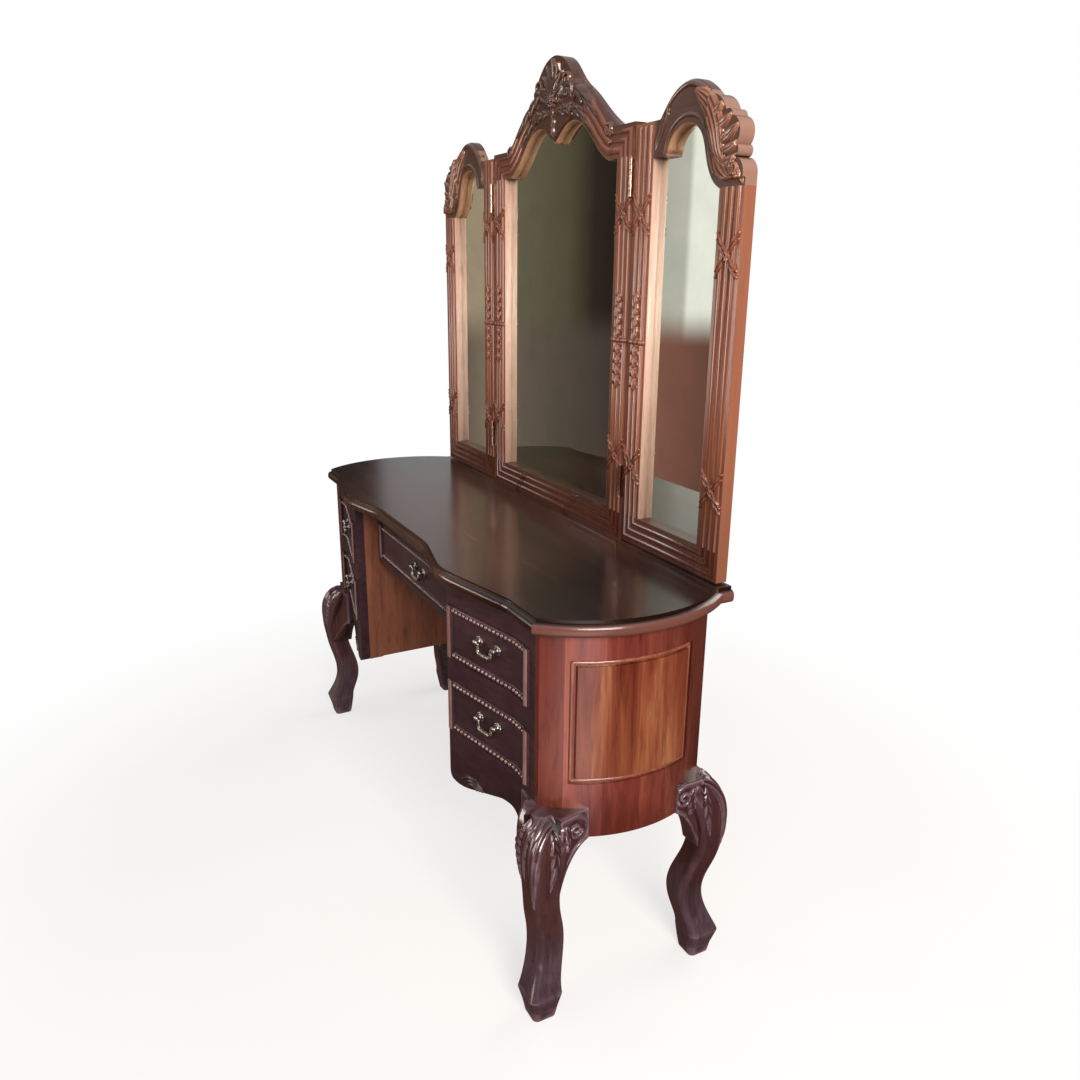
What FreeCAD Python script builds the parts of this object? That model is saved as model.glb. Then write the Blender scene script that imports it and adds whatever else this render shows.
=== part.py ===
import FreeCAD
import Part
import math
import os
import re

from FreeCAD import Vector

# Vanity desk with a folding triple mirror. Millimetres, X to the right, Y to the back, Z up.
# The origin is on the floor under the middle of the desk.

# Driving dimensions

SIZES = [
    # Top: plan and edge moulding
    ("top_height", 760),
    ("top_thick", 30),
    ("fillet_height", 6),
    ("fillet_setback", 9),
    ("housing_deep", 2),
    ("housing_play", 0.4),
    ("edge_round", 10),
    ("centre_front", 187),
    ("peak_front", 222.8),
    ("outer_front", 178),
    ("hollow_x", 150),
    ("peak_x", 308),
    ("shoulder_x", 515),
    ("corner_x", 614),
    ("bulge_x", 694),
    ("bulge_y", 5),
    ("rear_x", 642),
    ("rear_y", 190),
    ("back_y", 215),
    ("hollow_bend", 220),
    ("peak_bend", 200),
    ("shoulder_bend", 80),
    # Carcass
    ("overhang", 20),
    ("frame_thick", 22),
    ("carcass_back", 163),
    ("inner_x", 301),
    ("inner_thick", 18),
    ("inner_lift", 5),
    ("inner_sink", 4),
    ("inner_stile", 7),
    ("drawer_end", 573),
    ("post_x", 591),
    ("top_rail", 42),
    ("drawer_open", 111),
    ("mid_rail", 44),
    ("low_rail", 17),
    ("apron_drop", 114),
    ("apron_rise", 39),
    ("apron_turn", 54),
    ("apron_top", 179),
    ("apron_far", 214),
    ("apron_corner", 16),
    ("back_thick", 12),
    ("floor_thick", 10),
    ("floor_drop", 4),
    # Bowed ends
    ("end_top_rail", 46),
    ("end_panel_tall", 232),
    ("end_panel_front", 117),
    ("end_panel_rear", 115),
    ("end_drop", 58),
    ("panel_border", 11),
    ("panel_sink", 5),
    ("panel_thick", 14),
    ("panel_gap", 0.3),
    # Cabriole legs
    ("front_foot_x", 645),
    ("front_foot_y", 170),
    ("rear_foot_x", 644),
    ("rear_foot_y", 178),
    ("front_block_x", 610),
    ("front_block_y", 148),
    ("rear_block_x", 618),
    ("rear_block_y", 140),
    ("leg_block", 60),
    ("block_tall", 68),
    ("leg_round", 0.45),
    ("ear_x", 548),
    ("ear_y", 84),
    ("rear_ear_y", 96),
    ("ear_drop", 95),
    ("front_ear_drop", 80),
    ("ear_rise", 3),
    ("ear_reach", 14),
    ("pad_half", 23),
    ("pad_tall", 22),
    ("pad_rim", 27),
    ("toe_height", 52),
    ("toe_half", 33.5),
    ("toe_out", 3),
    ("instep_height", 84),
    ("instep_half", 29),
    ("instep_in", 10),
    ("ankle_height", 122),
    ("ankle_half", 28),
    ("ankle_in", 24),
    ("calf_half", 27.5),
    ("calf_in", 4),
    ("knee_drop", 92),
    ("knee_half", 32),
    ("knee_out", 4),
    ("shoulder_drop", 52),
    ("shoulder_half", 37),
    # Kneehole frieze and rear rail
    ("frieze_y", 140),
    ("frieze_thick", 20),
    ("frieze_tall", 150),
    ("frieze_rail", 42),
    ("frieze_stile", 19),
    ("centre_open", 92),
    ("rear_rail_tall", 170),
    ("rear_rail_thick", 18),
    # Drawers and runners
    ("front_gap", 1.2),
    ("front_thick", 20),
    ("strip_wide", 18),
    ("strip_rise", 4),
    ("side_gap", 2),
    ("side_thick", 12),
    ("side_tall", 86),
    ("side_lift", 4),
    ("side_inset", 8),
    ("bottom_lift", 8),
    ("bottom_thick", 6),
    ("box_back", 110),
    ("centre_back", 100),
    ("centre_side_inset", 8),
    ("runner_gap", 0.3),
    ("runner_wide", 20),
    ("runner_tall", 18),
    # Drawer pulls
    ("pull_half", 27),
    ("pull_rise", 13),
    ("centre_pull_rise", 8),
    ("rosette_radius", 10.5),
    ("rosette_thick", 3),
    ("post_radius", 4.4),
    ("post_long", 16),
    ("pivot_out", 11),
    ("rod_radius", 2.4),
    ("rod_play", 0.06),
    ("bail_drop", 21),
    ("bail_neck", 3.9),
    ("neck_clear", 0.5),
    ("bail_bend", 11),
    ("pin_in", 2),
    # Triple mirror
    ("mirror_front", 188),
    ("reed_rise", 3),
    ("reed_pitch", 15.5),
    ("reed_half", 7.2),
    ("glass_y", 208),
    ("glass_thick", 4),
    ("rebate", 8),
    ("rebate_play", 0.5),
    ("joint_x", 305),
    ("joint_gap", 2.6),
    ("stile_wide", 58),
    ("bottom_rail", 56),
    ("wing_lift", 3),
    ("spring_tall", 740),
    # Crest of the centre mirror: heights over the spring of the arch
    ("shoulder_rise", 57),
    ("sweep_x", 246),
    ("slope_x", 186),
    ("slope_rise", 92),
    ("bluff_x", 132),
    ("bluff_rise", 133),
    ("crown_foot_x", 87),
    ("crown_foot_rise", 163),
    ("crown_x", 43),
    ("crown_rise", 204),
    ("crest_rise", 217),
    ("arch_turn_x", 216),
    ("arch_slope_x", 145),
    ("arch_slope_rise", 51),
    ("arch_brow_x", 108),
    ("arch_brow_rise", 79),
    ("arch_x", 66),
    ("arch_rise", 88),
    ("arch_fall_x", 28),
    ("arch_fall_rise", 74),
    ("cusp_rise", 53),
    ("crest_boss", 80),
    ("crest_boss_lift", 140),
    ("crest_boss_rise", 5),
    ("crest_round", 13),
    # Wings: heights over the top of the outer stile's straight run
    ("wing_x", 618),
    ("wing_stile", 61),
    ("wing_fall", 73),
    ("wing_spring_rise", 62),
    ("wing_shoulder_rise", 123),
    ("wing_step_x", 380),
    ("wing_brow_x", 402),
    ("wing_brow_rise", 147),
    ("wing_rise_x", 428),
    ("wing_rise_rise", 168),
    ("wing_peak_x", 466),
    ("wing_peak_rise", 175),
    ("wing_fall_x", 500),
    ("wing_fall_rise", 162),
    ("drape_x", 526),
    ("drape_rise", 142),
    ("lobe_one_x", 568),
    ("lobe_one_rise", 114),
    ("lobe_one_bulge", 8),
    ("lobe_two_x", 585),
    ("lobe_two_rise", 104),
    ("lobe_two_bulge", 5),
    ("lobe_three_x", 597),
    ("lobe_three_rise", 62),
    ("lobe_three_bulge", 13),
    ("lobe_four_x", 594),
    ("lobe_four_rise", 43),
    ("lobe_four_bulge", 8),
    ("stile_top_rise", 18),
    ("stile_top_bulge", 7),
    ("wing_arch_foot", 404),
    ("wing_arch_in", 424),
    ("wing_arch_in_rise", 98),
    ("wing_arch_x", 462),
    ("wing_arch_rise", 109),
    ("wing_arch_out", 498),
    ("wing_arch_out_rise", 92),
    ("wing_hang_x", 517),
    ("wing_hang_rise", 48),
    ("wing_tuck_x", 533),
    ("wing_tuck_rise", 17),
    ("brow_round", 8),
    ("leaf_border", 12),
    ("lobe_rise", 6),
    # Hinges and straps
    ("hinge_out", 4.8),
    ("barrel_radius", 4.5),
    ("pin_radius", 2),
    ("pin_play", 0.05),
    ("leaf_thick", 1.15),
    ("leaf_deep", 20),
    ("knuckle_tall", 13),
    ("knuckle_gap", 0.3),
    ("hinge_low", 92),
    ("hinge_under", 72),
    ("strap_x", 200),
    ("strap_wide", 40),
    ("strap_thick", 3),
    ("strap_below", 26),
    ("strap_above", 200),
]

doc = FreeCAD.newDocument("vanity_desk")
sheet = doc.addObject("Spreadsheet::Sheet", "Sizes")
for row, (alias, value) in enumerate(SIZES, 1):
    sheet.set(f"A{row}", alias)
    sheet.set(f"B{row}", str(value))
    sheet.setAlias(f"B{row}", alias)
doc.recompute()


class SheetSizes:
    """Reads a named size from the sheet."""

    def __getattr__(self, alias):
        return float(sheet.get(alias))


S = SheetSizes()
NODES = []

# Heights that follow from the named sizes

carcass_top = S.top_height - S.top_thick
upper_high = carcass_top - S.top_rail
upper_low = upper_high - S.drawer_open
lower_high = upper_low - S.mid_rail
lower_low = lower_high - S.drawer_open
leg_top = lower_low - S.low_rail
apron_low = lower_low - S.apron_drop
centre_high = carcass_top - S.frieze_rail
centre_low = centre_high - S.centre_open


# Helpers for faces, prisms and document objects

def on_floor(a, b):
    return Vector(a, b, 0)


def on_front(a, b):
    return Vector(a, 0, b)


def on_end(a, b):
    return Vector(0, a, b)


def rounded_run(corners, lift):
    """Edges from the first corner to the last; a third number rounds a corner with a tangent arc."""
    edges = []
    start = lift(*corners[0][:2])
    for index in range(1, len(corners)):
        corner = corners[index]
        here = lift(*corner[:2])
        if len(corner) == 2:
            edges.append(Part.LineSegment(start, here).toShape())
            start = here
            continue
        back = lift(*corners[index - 1][:2]) - here
        onward = lift(*corners[index + 1][:2]) - here
        half = back.getAngle(onward) / 2
        reach = min(corner[2] / math.tan(half), 0.49 * back.Length, 0.49 * onward.Length)
        radius = reach * math.tan(half)
        back.normalize()
        onward.normalize()
        enter = here + back * reach
        leave = here + onward * reach
        bisector = back + onward
        bisector.normalize()
        middle = here + bisector * (radius / math.sin(half) - radius)
        edges.append(Part.LineSegment(start, enter).toShape())
        edges.append(Part.Arc(enter, middle, leave).toShape())
        start = leave
    return edges


def flowing_run(points, lift):
    """Tangent arcs that follow one smooth curve through the points."""
    curve = Part.BSplineCurve()
    curve.interpolate([lift(*point) for point in points])
    return [arc.toShape() for arc in curve.toBiArcs(0.25)]


def bulging_edge(start, end, bulge, lift):
    """An arc that stands out to the right of the way from start to end."""
    first = lift(*start)
    last = lift(*end)
    run_a = end[0] - start[0]
    run_b = end[1] - start[1]
    long = math.hypot(run_a, run_b)
    middle_a = (start[0] + end[0]) / 2 + run_b / long * bulge
    middle_b = (start[1] + end[1]) / 2 - run_a / long * bulge
    return Part.Arc(first, lift(middle_a, middle_b), last).toShape()


def line_run(points, lift):
    spots = [lift(*point) for point in points]
    return [Part.LineSegment(a, b).toShape() for a, b in zip(spots, spots[1:])]


def rounded_face(corners, lift):
    return Part.Face(Part.Wire(rounded_run(corners + [corners[0][:2]], lift)))


def block(low, high):
    extent = [b - a for a, b in zip(low, high)]
    return Part.makeBox(*extent, Vector(*low))


def slab(face, direction, start, end):
    """A flat face moved to the start along a direction and drawn out to the end."""
    moved = face.copy()
    moved.translate(direction * start)
    return moved.extrude(direction * (end - start))


ALONG_X = Vector(1, 0, 0)
ALONG_Y = Vector(0, 1, 0)
ALONG_Z = Vector(0, 0, 1)


def left_of(shape):
    return shape.mirror(Vector(0, 0, 0), ALONG_X)


def feature(label, shape):
    node = doc.addObject("Part::Feature", label)
    node.Shape = shape
    node.Label = label
    NODES.append(node)
    return node


def pair(stem, shape):
    feature(stem + "_right", shape)
    feature(stem + "_left", left_of(shape))


def bound(words):
    return re.sub(r"[a-z][a-z_]*", r"Sizes.\g<0>", words)


def board(label, corner, extent):
    """A box whose corner and extent follow the sheet."""
    box = doc.addObject("Part::Box", label)
    for name, words in zip(("Length", "Width", "Height"), extent):
        box.setExpression(name, bound(words))
    for axis, words in zip("xyz", corner):
        box.setExpression(f"Placement.Base.{axis}", bound(words))
    return box


# Plan of the top: serpentine front, bowed ends, straight back

def plan_face(inset):
    half_run = [
        (S.hollow_x, -S.centre_front, S.hollow_bend),
        (S.peak_x, -S.peak_front, S.peak_bend),
        (S.shoulder_x, -S.outer_front, S.shoulder_bend),
        (S.corner_x, -S.outer_front),
    ]
    mirrored = [(-corner[0], *corner[1:]) for corner in reversed(half_run)]
    edges = rounded_run(mirrored + half_run, on_floor)
    corner = Vector(S.corner_x, -S.outer_front, 0)
    bulge = Vector(S.bulge_x, S.bulge_y, 0)
    rear = Vector(S.rear_x, S.rear_y, 0)
    heel = Vector(S.rear_x, S.back_y, 0)
    flip = FreeCAD.Matrix()
    flip.A11 = -1
    edges.append(Part.Arc(corner, bulge, rear).toShape())
    edges.append(Part.LineSegment(rear, heel).toShape())
    edges.append(Part.LineSegment(heel, flip * heel).toShape())
    edges.append(Part.LineSegment(flip * heel, flip * rear).toShape())
    edges.append(Part.Arc(flip * rear, flip * bulge, flip * corner).toShape())
    face = Part.Face(Part.Wire(edges))
    if inset:
        return face.makeOffset2D(-inset)
    return face


def plan_prism(inset, low, high):
    return slab(plan_face(inset), ALONG_Z, low, high)


def plan_shell(outer, inner, low, high):
    return plan_prism(outer, low, high).cut(plan_prism(inner, low, high))


# Moulded top: a rounded thumb moulding with a small flat step above it, and a shallow housing
# at the back for the foot of the centre mirror

edge_top = S.top_height - S.fillet_height
thumb = plan_prism(0, carcass_top, edge_top)
rims = []
for edge in thumb.Edges:
    middle = edge.CenterOfMass
    level = abs(edge.BoundBox.ZLength) < 0.01
    if level and middle.y < S.back_y - 1:
        rims.append(edge)
thumb = thumb.makeFillet(S.edge_round, rims)
step = plan_prism(S.fillet_setback, edge_top, S.top_height)
heel_strip = block(
    (-S.rear_x + S.fillet_setback, S.back_y - S.fillet_setback - 1, edge_top),
    (S.rear_x - S.fillet_setback, S.back_y, S.top_height),
)
mirror_foot = S.joint_x - S.joint_gap / 2
housing = block(
    (
        -mirror_foot - S.housing_play,
        S.mirror_front + S.reed_rise - S.housing_play,
        S.top_height - S.housing_deep,
    ),
    (mirror_foot + S.housing_play, S.back_y + 1, S.top_height + 1),
)
moulded = thumb.fuse([step, heel_strip]).removeSplitter()
feature("desk_top", moulded.cut(housing))

# Pedestal front frames: inner stile, three rails and a shaped apron, curved with the plan

frame_inset = S.overhang + S.frame_thick
frame_shell = plan_shell(S.overhang, frame_inset, 0, carcass_top)
inside = plan_prism(frame_inset, 0, carcass_top)
ear_line = apron_low + S.apron_rise / 4
front_face = rounded_face(
    [
        (S.inner_x, carcass_top),
        (S.inner_x, apron_low, S.apron_corner),
        (S.inner_x + S.apron_turn, apron_low, 150),
        (S.inner_x + S.apron_top, apron_low + S.apron_rise, 70),
        (S.inner_x + S.apron_far, apron_low + S.apron_rise, 50),
        (S.ear_x, ear_line),
        (S.ear_x, leg_top),
        (S.post_x, leg_top),
        (S.post_x, carcass_top),
    ],
    on_front,
)
front_frame = slab(front_face, ALONG_Y, -S.peak_front, 0)
for low, high in ((upper_low, upper_high), (lower_low, lower_high)):
    opening = block((S.inner_x + S.inner_stile, -S.peak_front, low), (S.drawer_end, 0, high))
    front_frame = front_frame.cut(opening)
front_frame = front_frame.common(frame_shell)
pair("front_frame", front_frame)

# Bowed end frames with the corner posts, and their fielded panels

panel_high = carcass_top - S.end_top_rail
panel_low = panel_high - S.end_panel_tall
end_low = leg_top - S.end_drop
end_face = rounded_face(
    [
        (-S.peak_front, carcass_top),
        (-S.peak_front, leg_top),
        (-S.ear_y, leg_top),
        (-S.ear_y, end_low),
        (S.rear_ear_y, end_low),
        (S.rear_ear_y, leg_top),
        (S.carcass_back, leg_top),
        (S.carcass_back, carcass_top),
    ],
    on_end,
)
end_frame = slab(end_face, ALONG_X, S.post_x, S.bulge_x)
end_frame = end_frame.cut(
    block((S.post_x + 8, -S.end_panel_front, panel_low), (S.bulge_x, S.end_panel_rear, panel_high))
)
end_frame = end_frame.common(frame_shell)
pair("end_frame", end_frame)

gap = S.panel_gap
plate_out = S.overhang + S.panel_sink
plate = plan_shell(plate_out, plate_out + S.panel_thick, panel_low, panel_high)
plate = plate.common(
    block(
        (S.post_x, -S.end_panel_front + gap, panel_low + gap),
        (S.bulge_x, S.end_panel_rear - gap, panel_high - gap),
    )
)
border = S.panel_border
field = plan_shell(S.overhang - 1, S.overhang + S.panel_sink + 2, panel_low, panel_high)
field = field.common(
    block(
        (S.post_x, -S.end_panel_front + border, panel_low + border),
        (S.bulge_x, S.end_panel_rear - border, panel_high - border),
    )
)
pair("end_panel", plate.fuse(field).removeSplitter())

# Inner sides of the pedestals, with a front post that stands proud of the board

post_back = -S.frieze_y
inner_low = apron_low + S.inner_lift
inner_side = block(
    (S.inner_x + S.inner_sink, -S.peak_front, inner_low),
    (S.inner_x + S.inner_thick, S.carcass_back, carcass_top),
)
inner_post = block(
    (S.inner_x, -S.peak_front, inner_low),
    (S.inner_x + S.inner_thick, post_back, carcass_top),
)
pair("inner_side", inner_side.fuse(inner_post).removeSplitter().common(inside))

# Pedestal backs and bottoms, cut to the curved inside of the frames

board_x = S.inner_x + S.inner_thick
floor_high = lower_low - S.floor_drop
floor_low = floor_high - S.floor_thick
back_y = S.carcass_back - S.back_thick
back_panel = block((board_x, back_y, floor_low), (S.bulge_x, S.carcass_back, carcass_top))
pair("pedestal_back", back_panel.common(inside))
floor_board = block((board_x, -S.peak_front, floor_low), (S.bulge_x, back_y, floor_high))
pair("pedestal_bottom", floor_board.common(inside))

# Cabriole legs: a pad foot, a turned-out toe, a slim ankle and a swelling knee

def leg_section(centre, half, height):
    """A rounded square, level, with its sides along X and Y."""
    curve = half * S.leg_round
    low_x = centre[0] - half
    high_x = centre[0] + half
    low_y = centre[1] - half
    high_y = centre[1] + half
    bend = curve * (1 - math.sqrt(0.5))
    spots = [
        ((low_x + curve, low_y), (high_x - curve, low_y), (high_x - bend, low_y + bend)),
        ((high_x, low_y + curve), (high_x, high_y - curve), (high_x - bend, high_y - bend)),
        ((high_x - curve, high_y), (low_x + curve, high_y), (low_x + bend, high_y - bend)),
        ((low_x, high_y - curve), (low_x, low_y + curve), (low_x + bend, low_y + bend)),
    ]
    edges = []
    for index, (start, end, turn) in enumerate(spots):
        following = spots[(index + 1) % 4][0]
        edges.append(Part.LineSegment(Vector(*start, height), Vector(*end, height)).toShape())
        arc = Part.Arc(Vector(*end, height), Vector(*turn, height), Vector(*following, height))
        edges.append(arc.toShape())
    return Part.Wire(edges)


def leg(foot, knee_block, side_y):
    """side_y is minus one for a front leg and one for a back leg."""
    slant = math.sqrt(0.5)
    knee_height = leg_top - S.knee_drop
    calf_height = (S.ankle_height + knee_height) / 2
    shoulder_height = leg_top - S.shoulder_drop

    def spot(outward, pull):
        x = foot[0] + outward * slant + (knee_block[0] - foot[0]) * pull
        y = foot[1] + outward * slant * side_y + (knee_block[1] - foot[1]) * pull
        return (x, y)

    pad = [
        leg_section(spot(0, 0), S.pad_half, 0),
        leg_section(spot(0, 0), S.pad_rim, S.pad_tall),
        leg_section(spot(S.toe_out, 0), S.toe_half, S.toe_height),
    ]
    limb = [
        leg_section(spot(S.toe_out, 0), S.toe_half, S.toe_height),
        leg_section(spot(-S.instep_in, 0), S.instep_half, S.instep_height),
        leg_section(spot(-S.ankle_in, 0), S.ankle_half, S.ankle_height),
        leg_section(spot(-S.calf_in, 0), S.calf_half, calf_height),
        leg_section(spot(S.knee_out, 0.04), S.knee_half, knee_height),
        leg_section(spot(S.knee_out, 0.36), S.shoulder_half, shoulder_height),
        leg_section(spot(0, 1), S.leg_block / 2, leg_top),
    ]
    foot_solid = Part.makeLoft(pad, True, True)
    limb_solid = Part.makeLoft(limb, True, False)
    inner = S.leg_block / 2
    seat_y = sorted((knee_block[1], knee_block[1] - inner * side_y))
    seat = block(
        (knee_block[0] - inner, seat_y[0], leg_top - S.block_tall),
        (knee_block[0] + inner / 2, seat_y[1], leg_top),
    )
    return foot_solid.fuse([limb_solid, seat]).removeSplitter()


# Ears of the knees: brackets that swell from the frames into the knee and sweep down along the leg

def ear(stations, lift):
    """A smooth wedge through upright rectangles, each at (way along, inner, outer, low edge)."""
    wires = []
    for along, inner, outer, low in stations:
        corners = [(inner, low), (outer, low), (outer, leg_top), (inner, leg_top)]
        spots = [lift(along, *corner) for corner in corners]
        wires.append(Part.makePolygon(spots + spots[:1]))
    return Part.makeLoft(wires, True, False)


end_arc = Part.Arc(
    Vector(S.corner_x, -S.outer_front, 0),
    Vector(S.bulge_x, S.bulge_y, 0),
    Vector(S.rear_x, S.rear_y, 0),
).toShape().Curve


def end_face_x(y):
    """Where the bowed end frame's outer face is, at a place along the end."""
    reach = end_arc.Radius - S.overhang
    return end_arc.Center.x + math.sqrt(reach ** 2 - (y - end_arc.Center.y) ** 2)


# Each ear in four steps: how far along it is, and how far its edge has dropped and its face come out
EAR_STEPS = ((0, 0, 0), (0.36, 0.17, 0.16), (0.7, 0.5, 0.46), (1, 1, 1))


def end_ear(start_y, end_y, leg_out):
    stations = []
    for along, drop, swell in EAR_STEPS:
        y = start_y + (end_y - start_y) * along
        face = end_face_x(start_y) + S.ear_rise
        outer = face + (leg_out - face) * swell
        inner = end_face_x(y) - S.frame_thick
        stations.append((y, inner, outer, end_low - S.ear_drop * drop))
    return ear(stations, lambda y, x, z: Vector(x, y, z))


def front_ear():
    start_x = S.ear_x
    end_x = S.front_block_x + 10
    face = -S.outer_front + S.overhang - S.ear_rise
    leg_out = -S.front_foot_y - S.shoulder_half + S.ear_reach
    stations = []
    for along, drop, swell in EAR_STEPS:
        x = start_x + (end_x - start_x) * along
        outer = face + (leg_out - face) * swell
        inner = -S.outer_front + frame_inset
        stations.append((x, inner, outer, ear_line - S.front_ear_drop * drop))
    return ear(stations, lambda x, y, z: Vector(x, y, z))


knee_out_x = S.front_foot_x + S.shoulder_half - S.ear_reach
front_ears = [front_ear(), end_ear(-S.ear_y, -S.front_block_y, knee_out_x)]
rear_ear = end_ear(S.rear_ear_y, S.rear_block_y + 14, knee_out_x)
front_leg = leg((S.front_foot_x, -S.front_foot_y), (S.front_block_x, -S.front_block_y), -1)
rear_leg = leg((S.rear_foot_x, S.rear_foot_y), (S.rear_block_x, S.rear_block_y), 1)
front_leg = front_leg.fuse(front_ears).removeSplitter()
rear_leg = rear_leg.fuse(rear_ear).removeSplitter()
pair("leg_front", front_leg.cut(end_frame).cut(front_frame))
pair("leg_back", rear_leg.cut(end_frame))

# Kneehole frieze with the centre drawer's opening, and the rail behind

panel_x = "inner_x + inner_sink"
sheet_top = "top_height - top_thick"
frieze_board = board(
    "frieze_board",
    (f"-({panel_x})", "-frieze_y", f"{sheet_top} - frieze_tall"),
    (f"2 * ({panel_x})", "frieze_thick", "frieze_tall"),
)
frieze_hole = board(
    "frieze_hole",
    (
        "-(inner_x - frieze_stile)",
        "-frieze_y - 5",
        f"{sheet_top} - frieze_rail - centre_open",
    ),
    ("2 * (inner_x - frieze_stile)", "frieze_thick + 10", "centre_open"),
)
frieze = doc.addObject("Part::Cut", "kneehole_frieze")
frieze.Base = frieze_board
frieze.Tool = frieze_hole
NODES.append(frieze)
rear_rail = board(
    "kneehole_rear_rail",
    (f"-({panel_x})", "carcass_back - rear_rail_thick", f"{sheet_top} - rear_rail_tall"),
    (f"2 * ({panel_x})", "rear_rail_thick", "rear_rail_tall"),
)
NODES.append(rear_rail)

# Drawer runners: one under each side of every drawer

side_x = board_x + S.side_gap
side_end = S.drawer_end - S.side_inset
runners = []
for low, tall in ((upper_low, S.runner_tall), (lower_low, 0)):
    high = low + S.side_lift - S.runner_gap
    foot = high - tall if tall else floor_high
    inner_runner = block((board_x, -S.peak_front, foot), (board_x + S.runner_wide, back_y, high))
    outer_runner = block((side_end - S.runner_wide, -S.peak_front, foot), (side_end, back_y, high))
    for strip in (inner_runner.common(inside), outer_runner.common(inside)):
        runners.append(strip)
        runners.append(left_of(strip))
centre_x = S.inner_x - S.frieze_stile - S.centre_side_inset
high = centre_low + S.side_lift - S.runner_gap
strip = block(
    (centre_x - S.side_thick, -S.frieze_y + S.frieze_thick, high - S.runner_tall),
    (S.inner_x + S.inner_sink, S.carcass_back - S.rear_rail_thick, high),
)
runners.append(strip)
runners.append(left_of(strip))
runner_solids = [solid for strip in runners for solid in strip.Solids]
feature("drawer_runners", Part.makeCompound(runner_solids))

# Drawers: a front that follows the plan, with a raised strip at each end, and a plain box

def drawer_box(low_x, high_x, low, back, region):
    high = low + S.side_tall
    thick = S.side_thick
    floor = low + S.bottom_lift
    pieces = [
        block((low_x, -S.peak_front, low), (low_x + thick, back, high)),
        block((high_x - thick, -S.peak_front, low), (high_x, back, high)),
        block((low_x + thick, back - thick, low), (high_x - thick, back, high)),
        block(
            (low_x + thick, -S.peak_front, floor),
            (high_x - thick, back - thick, floor + S.bottom_thick),
        ),
    ]
    solids = []
    for piece in pieces:
        solids.extend(piece.common(region).Solids)
    return Part.makeCompound(solids)


def drawer_front(low_x, high_x, low, high, plate, strips):
    fit = S.front_gap
    deep = S.peak_front + S.strip_rise
    body = plate.common(block((low_x + fit, -deep, low + fit), (high_x - fit, 0, high - fit)))
    ends = [
        block((low_x + fit, -deep, low + fit), (low_x + fit + S.strip_wide, 0, high - fit)),
        block((high_x - fit - S.strip_wide, -deep, low + fit), (high_x - fit, 0, high - fit)),
    ]
    trims = [strips.common(end) for end in ends]
    return body.fuse(trims).removeSplitter()


front_plate = plan_shell(S.overhang, S.overhang + S.front_thick, 0, carcass_top)
front_strips = plan_shell(S.overhang - S.strip_rise, S.overhang + 1, 0, carcass_top)
behind_front = plan_prism(S.overhang + S.front_thick, 0, carcass_top)
for name, low, high in (("upper", upper_low, upper_high), ("lower", lower_low, lower_high)):
    start = S.inner_x + S.inner_stile
    shape = drawer_front(start, S.drawer_end, low, high, front_plate, front_strips)
    pair(f"{name}_drawer_front", shape)
    box = drawer_box(side_x, side_end, low + S.side_lift, S.box_back, behind_front)
    pair(f"{name}_drawer_box", box)

flat_y = -S.frieze_y
wide = S.inner_x
flat_plate = block((-wide, flat_y, 0), (wide, flat_y + S.front_thick, carcass_top))
flat_strips = block((-wide, flat_y - S.strip_rise, 0), (wide, flat_y + 1, carcass_top))
centre_open_x = S.inner_x - S.frieze_stile
shape = drawer_front(-centre_open_x, centre_open_x, centre_low, centre_high, flat_plate, flat_strips)
feature("centre_drawer_front", shape)
behind_flat = block((-wide, flat_y + S.front_thick, 0), (wide, S.carcass_back, carcass_top))
box = drawer_box(-centre_x, centre_x, centre_low + S.side_lift, S.centre_back, behind_flat)
feature("centre_drawer_box", box)

# Drawer pulls: rosettes with drilled posts, and a bail that hangs from them

def pull_mounts():
    solids = []
    for sign in (-1, 1):
        x = sign * S.pull_half
        rosette = Part.makeCylinder(S.rosette_radius, S.rosette_thick, Vector(x, 0, 0), -ALONG_Y)
        dome = Part.makeCone(
            S.rosette_radius * 0.75,
            S.post_radius,
            S.rosette_thick,
            Vector(x, -S.rosette_thick, 0),
            -ALONG_Y,
        )
        stem = Part.makeCylinder(S.post_radius, S.post_long, Vector(x, 0, 0), -ALONG_Y)
        reach = S.pin_in + S.rod_play
        bore = Part.makeCylinder(
            S.rod_radius + S.rod_play,
            reach + 2 * S.post_radius,
            Vector(x + sign * reach, -S.pivot_out, 0),
            ALONG_X * -sign,
        )
        solids.append(rosette.fuse([dome, stem]).removeSplitter().cut(bore))
    return Part.makeCompound([solid for shape in solids for solid in shape.Solids])


def pull_bail():
    end_x = S.pull_half + S.pin_in
    half = S.pull_half - S.post_radius - S.neck_clear - S.bail_neck
    path = Part.Wire(
        rounded_run(
            [
                (-end_x, 0),
                (-half, 0, S.bail_neck),
                (-half, -S.bail_drop, S.bail_bend),
                (half, -S.bail_drop, S.bail_bend),
                (half, 0, S.bail_neck),
                (end_x, 0),
            ],
            on_front,
        )
    )
    circle = Part.makeCircle(S.rod_radius, Vector(-end_x, 0, 0), ALONG_X)
    rod = path.makePipeShell([Part.Wire(circle)], True, True)
    rod.translate(Vector(0, -S.pivot_out, 0))
    return rod


def pull_set(stem, place):
    for name, shape in (("pull", pull_mounts()), ("bail", pull_bail())):
        placed = shape.copy()
        placed.Placement = place.multiply(placed.Placement)
        feature(f"{stem}_{name}", placed)


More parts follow.
